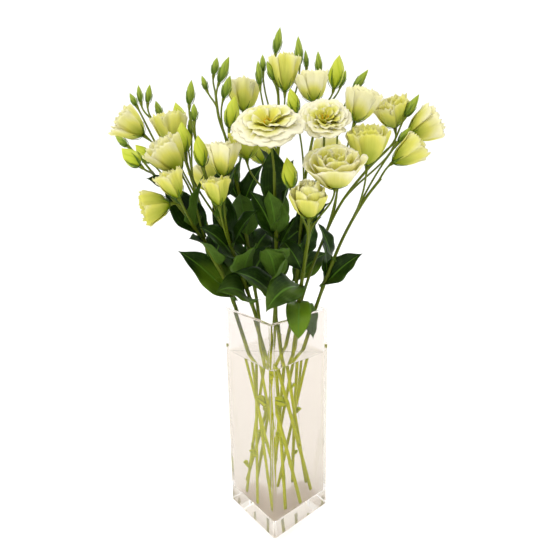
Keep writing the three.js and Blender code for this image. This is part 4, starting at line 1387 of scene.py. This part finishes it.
def level_edges(part, height):
    """The edges at a height where a level face meets an upright one."""
    return [
        edge
        for edge in part.edges
        if all(abs(v.co.z - height) < 0.01 for v in edge.verts)
        and len(edge.link_faces) == 2
        and abs(edge.link_faces[0].normal.z) + abs(edge.link_faces[1].normal.z) < 1.5
        and edge.calc_face_angle(0.0) > 0.5
    ]


def rounded(part, edges, radius, segments):
    bmesh.ops.bevel(
        part, geom=edges, offset=radius, segments=segments, profile=0.5, affect="EDGES", material=-1
    )
    part.normal_update()


def shade(part):
    """Rounded faces are shaded smooth and flat ones flat."""
    part.normal_update()
    for face in part.faces:
        face.smooth = max(abs(c) for c in face.normal) < 0.9999


def vase_body():
    part = square_block(VASE_SIDE, 0, VASE_HEIGHT)
    part.normal_update()
    top = max(part.faces, key=lambda face: face.calc_center_median().z)
    bmesh.ops.inset_region(part, faces=[top], thickness=VASE_WALL, use_even_offset=True)
    sunk = bmesh.ops.extrude_face_region(part, geom=[top])["geom"]
    corners = [item for item in sunk if isinstance(item, bmesh.types.BMVert)]
    bmesh.ops.delete(part, geom=[top], context="FACES")
    bmesh.ops.translate(part, vec=(0, 0, VASE_FLOOR - VASE_HEIGHT), verts=corners)
    bmesh.ops.recalc_face_normals(part, faces=part.faces)
    rounded(part, upright_edges(part, VASE_SIDE / 2), VASE_CORNER, 8)
    rounded(part, upright_edges(part, VASE_SIDE / 2 - VASE_WALL), INNER_CORNER, 6)
    rounded(part, level_edges(part, VASE_HEIGHT), RIM_ROUND, 4)
    rounded(part, level_edges(part, 0), BASE_ROUND, 3)
    rounded(part, level_edges(part, VASE_FLOOR), INNER_ROUND, 5)
    shade(part)
    return part


def water_body(meniscus):
    side = VASE_SIDE - 2 * VASE_WALL + 2 * WATER_WETTING
    part = square_block(side, VASE_FLOOR - WATER_WETTING, WATER_LEVEL)
    rounded(part, upright_edges(part, side / 2), INNER_CORNER, 6)
    rounded(part, level_edges(part, VASE_FLOOR - WATER_WETTING), INNER_ROUND, 5)
    top = max(part.faces, key=lambda face: face.calc_center_median().z)
    for width, share in MENISCUS_SLOPES:
        bmesh.ops.inset_region(part, faces=[top], thickness=width, use_even_offset=True)
        bmesh.ops.translate(part, vec=(0, 0, -share * meniscus), verts=top.verts)
    shade(part)
    return part


# Pistil and stamens


def heart_body():
    """Ovary, style, two-lobed stigma and five stamens of an open bloom, in its own frame."""
    body = bmesh.new()
    ovary = [Vector((0, 0, HEART_BASE + up)) for up in OVARY]
    join_into(body, tube(ovary, [*OVARY.values()], 0, 16))
    for sign in (-1, 1):
        lobe = bmesh.new()
        lobe.loops.layers.uv.new("UVMap")
        bmesh.ops.create_uvsphere(lobe, u_segments=14, v_segments=10, radius=1, calc_uvs=True)
        bmesh.ops.scale(lobe, vec=LOBE_SIZE, verts=lobe.verts)
        tilt = Matrix.Rotation(sign * LOBE_TILT, 3, "X")
        bmesh.ops.rotate(lobe, matrix=tilt, verts=lobe.verts)
        bmesh.ops.translate(lobe, vec=(0, -sign * LOBE_OUT, HEART_BASE + LOBE_UP), verts=lobe.verts)
        for face in lobe.faces:
            face.material_index = 1
        join_into(body, lobe)
    for stamen in range(PETALS):
        outward, _ = round_axes(2 * math.pi * stamen / PETALS)
        line = []
        for point in range(STAMEN_POINTS):
            out = STAMEN_ROOT + STAMEN_SPREAD * (point / (STAMEN_POINTS - 1)) ** 1.4
            line.append(outward * out + Vector((0, 0, HEART_BASE + STAMEN_STEP * point)))
        join_into(body, tube(line, [STAMEN_RADIUS] * STAMEN_POINTS, 0, 6))
        tip = line[-1]
        anther = [tip + Vector((0, 0, up)) + outward * ANTHER_LEAN * up for up in ANTHER]
        join_into(body, tube(anther, [*ANTHER.values()], 2, 8))
    return body


# Pieces


def into_vase():
    """From the bouquet's frame in millimetres to the row frame in metres."""
    return Matrix.Rotation(BOUQUET_TURN, 4, "Z") @ Matrix.Scale(MM, 4)


def add_piece(part, name, node, materials, matrix, smooth=True):
    """Makes a finished object of a part and puts it in the frame in place of its node."""
    bmesh.ops.transform(part, matrix=matrix, verts=part.verts)
    if smooth:
        for face in part.faces:
            face.smooth = True
    mesh = bpy.data.meshes.new(name)
    part.to_mesh(mesh)
    part.free()
    for material in materials:
        mesh.materials.append(material)
    piece = bpy.data.objects.new(name, mesh)
    bpy.context.scene.collection.objects.link(piece)
    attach(piece, BODY)
    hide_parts(node)
    return piece


def add_head_piece(part, head, name, node, materials):
    """Puts a part that is modelled in a head's own frame at that head's place."""
    add_piece(part, name, node, materials, into_vase() @ head.matrix())


class BOUQUET_OT_vase(bpy.types.Operator):
    """Model the square glass vase with its thick base"""

    bl_idname = "bouquet.vase"
    bl_label = "Glass vase"

    def execute(self, context):
        materials = [glass_material(context.scene.bouquet_vase)]
        matrix = Matrix.Scale(MM, 4)
        add_piece(vase_body(), "vase_glass", "vase", materials, matrix, smooth=False)
        return {"FINISHED"}


class BOUQUET_OT_water(bpy.types.Operator):
    """Model the water in the vase, with its rim drawn up the glass"""

    bl_idname = "bouquet.water"
    bl_label = "Water"

    def execute(self, context):
        looks = context.scene.bouquet_vase
        body = water_body(looks.meniscus / MM)
        materials = [water_material(looks)]
        matrix = Matrix.Scale(MM, 4)
        add_piece(body, "vase_water", "water", materials, matrix, smooth=False)
        return {"FINISHED"}


class BOUQUET_OT_stems(bpy.types.Operator):
    """Model the leafy stems with their sprays, sepals, leaves and small buds"""

    bl_idname = "bouquet.stems"
    bl_label = "Leafy stems"

    def execute(self, context):
        looks = context.scene.bouquet_foliage
        upper, low, under = looks.upper, looks.low, looks.under
        sepal, small_bud, wet = looks.sepal, looks.small_bud, looks.wet_stem
        materials = [
            stem_material(looks),
            # Sepal: a narrow green blade, duller than a leaf.
            leaf_material("Green sepal", sepal, sepal, small_bud, 0.55, 0.0, 0.1),
            # Small bud: petals still green and tightly rolled.
            bud_material("Green bud", sepal, small_bud),
            # Upper leaf face: cuticle wax gives a soft gloss over dark green, painted lighter near the rim
            # as if lit.
            leaf_material("Waxy leaf, upper face", upper, low, looks.rib, 0.42, 0.14, 0.08),
            # Lower leaf face: pale bloom, with the veins standing out.
            leaf_material("Waxy leaf, underside", under, under, looks.rib, 0.6, 0.35, 0.12),
            # Stripped leaf: soft from standing in water, in the yellow-green of the stems in the vase,
            # which is partly painted light.
            leaf_material("Soaked leaf stub", wet, wet, under, 0.5, 0.2, 0.2),
        ]
        for stem in STEMS:
            body = leafy_stem(stem, looks.wave / MM)
            name = stem["name"] + "_foliage"
            add_piece(body, name, stem["name"], materials, into_vase())
        return {"FINISHED"}


class BOUQUET_OT_blooms(bpy.types.Operator):
    """Model the petals of the open and half-closed blooms"""

    bl_idname = "bouquet.blooms"
    bl_label = "Blooms"

    def execute(self, context):
        looks = context.scene.bouquet_petals
        opened = open_petal_materials(looks)
        closed = closed_petal_materials(looks)
        for index, head in heads_with_nodes():
            if head.form == "bud":
                continue
            petals = petals_of(head, index, looks.thickness / MM, looks.ruffle)
            materials = closed if head.form in ("bell", "tube", "rose") else opened
            add_head_piece(petals, head, head.name + "_petals", head.name, materials)
        return {"FINISHED"}


class BOUQUET_OT_buds(bpy.types.Operator):
    """Model the swelling buds with their rolled petals"""

    bl_idname = "bouquet.buds"
    bl_label = "Swelling buds"

    def execute(self, context):
        looks = context.scene.bouquet_petals
        materials = [bud_material("Rolled petals of a bud", looks.lime, looks.bud)]
        for _, head in heads_with_nodes():
            if head.form == "bud":
                body = rolled_bud(head.length, head.width, BUD_LIFT, 0)
                add_head_piece(body, head, head.name + "_petals", head.name, materials)
        return {"FINISHED"}


class BOUQUET_OT_hearts(bpy.types.Operator):
    """Model the pistil and stamens of the open blooms"""

    bl_idname = "bouquet.hearts"
    bl_label = "Pistils and stamens"

    def execute(self, context):
        lime = context.scene.bouquet_petals.lime
        stigma, stigma_dark, pollen, pollen_dark = [linear(tone)[:3] for tone in HEART_TONES]
        materials = [
            # Ovary and style: moist green skin with fine cells.
            grain_material("Green ovary", lime, between(lime, OVARY_SHADE, 0.5), 0.4, 0.45),
            # Stigma: velvet of yellow-green papillae.
            grain_material("Velvet stigma", stigma, stigma_dark, 0.3, 0.8),
            # Anther: mealy orange-yellow pollen.
            grain_material("Pollen", pollen, pollen_dark, 0.25, 0.9),
        ]
        for _, head in heads_with_nodes():
            if head.has_heart():
                node = head.name.replace("bloom", "heart")
                add_head_piece(heart_body(), head, node + "_pistil", node, materials)
        return {"FINISHED"}


# Studio


FLOOR_DROP = 0.0003
SWEEP_RADIUS = 3.2
SWEEP_ROUND = 1.4
SWEEP_HEIGHT = 3.4
SWEEP_STEPS = 12
SWEEP_SIDES = 96
# Each lamp's place in the bouquet's own frame, and its power as a share of the key light's.
LAMPS = {"key_light": ((-1.1, -1.3, 1.9), 1.0), "back_light": ((0.9, 1.4, 1.8), 1.2)}
LAMP_SIZE = 1.3
LIT_POINT = Vector((0, 0, 0.4))
SENSOR_WIDTH = 36
NEAREST_SEEN = 0.01


def sweep_body():
    """A round paper sweep: a flat floor that curves up into a wall on every side."""
    part = bmesh.new()
    points = [(0.001, 0.0), (SWEEP_RADIUS - SWEEP_ROUND, 0.0)]
    for step in range(1, SWEEP_STEPS + 1):
        angle = math.pi / 2 * step / SWEEP_STEPS
        out = SWEEP_RADIUS - SWEEP_ROUND * (1 - math.sin(angle))
        points.append((out, SWEEP_ROUND * (1 - math.cos(angle))))
    points.append((SWEEP_RADIUS, SWEEP_HEIGHT))
    verts = [part.verts.new((out, 0, up - FLOOR_DROP)) for out, up in points]
    edges = [part.edges.new(pair) for pair in zip(verts, verts[1:])]
    bmesh.ops.spin(
        part,
        geom=[*verts, *edges],
        cent=(0, 0, 0),
        axis=(0, 0, 1),
        angle=2 * math.pi,
        steps=SWEEP_SIDES,
        use_merge=True,
    )
    hole = [edge for edge in part.edges if edge.is_boundary and edge.verts[0].co.z < 0.1]
    bmesh.ops.holes_fill(part, edges=hole)
    bmesh.ops.recalc_face_normals(part, faces=part.faces)
    bmesh.ops.reverse_faces(part, faces=part.faces)
    for face in part.faces:
        face.smooth = True
    return part


def paper_material(looks):
    # Matte seamless paper: flat pale tone, with a tooth too fine to see but for its softness.
    material, tree = start_material("Matte studio paper")
    paper = add_node(
        tree, "BsdfPrincipled", {"Base Color": opaque(looks.floor), "Roughness": 0.95}
    )
    add_node(tree, "OutputMaterial", links={"Surface": paper})
    return material


def add_lamp(name, place, power):
    """A soft round lamp that shines at the middle of the bouquet."""
    data = bpy.data.lights.new(name, "AREA")
    data.shape = "DISK"
    data.size = LAMP_SIZE
    data.energy = power
    lamp = bpy.data.objects.new(name, data)
    lamp.location = place
    lamp.rotation_euler = (LIT_POINT - place).to_track_quat("-Z", "Y").to_euler()
    bpy.context.scene.collection.objects.link(lamp)


class BOUQUET_OT_studio(bpy.types.Operator):
    """Set up the paper sweep, the soft lights and the camera"""

    bl_idname = "bouquet.studio"
    bl_label = "Studio"

    def execute(self, context):
        looks = context.scene.bouquet_studio
        mesh = bpy.data.meshes.new("paper_sweep")
        body = sweep_body()
        body.to_mesh(mesh)
        body.free()
        mesh.materials.append(paper_material(looks))
        sweep = bpy.data.objects.new("paper_sweep", mesh)
        context.scene.collection.objects.link(sweep)
        turn = Matrix.Rotation(BOUQUET_TURN, 4, "Z")
        for name, (place, share) in LAMPS.items():
            add_lamp(name, turn @ Vector(place), share * looks.key)
        world = bpy.data.worlds.new("white_room")
        context.scene.world = world
        world.use_nodes = True
        world.node_tree.nodes.clear()
        white = {"Color": (1, 1, 1, 1), "Strength": looks.sky}
        sky = add_node(world.node_tree, "Background", white)
        add_node(world.node_tree, "OutputWorld", links={"Surface": sky})
        context.scene.view_settings.view_transform = "Standard"
        camera = bpy.data.cameras.new("camera")
        camera.sensor_width = SENSOR_WIDTH
        camera.lens = looks.lens
        camera.clip_start = NEAREST_SEEN
        viewer = bpy.data.objects.new("camera", camera)
        place = Matrix.Translation(Vector((looks.shift, -looks.distance, looks.height)))
        tilt = Matrix.Rotation(math.pi / 2 - looks.pitch, 4, "X")
        viewer.matrix_world = turn @ place @ tilt @ Matrix.Rotation(looks.roll, 4, "Z")
        context.scene.collection.objects.link(viewer)
        context.scene.camera = viewer
        return {"FINISHED"}


class BOUQUET_PT_panel(bpy.types.Panel):
    """Lists the steps and settings of the bouquet"""

    bl_idname = "BOUQUET_PT_panel"
    bl_label = "Bouquet"
    bl_space_type = "VIEW_3D"
    bl_region_type = "UI"
    bl_category = "Bouquet"

    def draw(self, context):
        for operator in OPERATORS:
            self.layout.operator(operator.bl_idname)
        for pointer, group in SETTINGS.items():
            box = self.layout.box()
            for name in group.__annotations__:
                box.prop(getattr(context.scene, pointer), name)


SETTINGS = {
    "bouquet_vase": VaseSettings,
    "bouquet_foliage": FoliageSettings,
    "bouquet_petals": PetalSettings,
    "bouquet_studio": StudioSettings,
}
OPERATORS = [
    BOUQUET_OT_studio,
    BOUQUET_OT_vase,
    BOUQUET_OT_water,
    BOUQUET_OT_stems,
    BOUQUET_OT_blooms,
    BOUQUET_OT_buds,
    BOUQUET_OT_hearts,
]
CLASSES = [*SETTINGS.values(), *OPERATORS, BOUQUET_PT_panel]


def register():
    for item in CLASSES:
        bpy.utils.register_class(item)
    for pointer, group in SETTINGS.items():
        setattr(bpy.types.Scene, pointer, PointerProperty(type=group))


def unregister():
    for pointer in SETTINGS:
        delattr(bpy.types.Scene, pointer)
    for item in reversed(CLASSES):
        bpy.utils.unregister_class(item)


def main():
    register()
    bpy.ops.bouquet.studio()
    bpy.ops.bouquet.vase()
    bpy.ops.bouquet.water()
    bpy.ops.bouquet.stems()
    bpy.ops.bouquet.blooms()
    bpy.ops.bouquet.buds()
    bpy.ops.bouquet.hearts()
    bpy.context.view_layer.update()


if __name__ == "__main__":
    main()
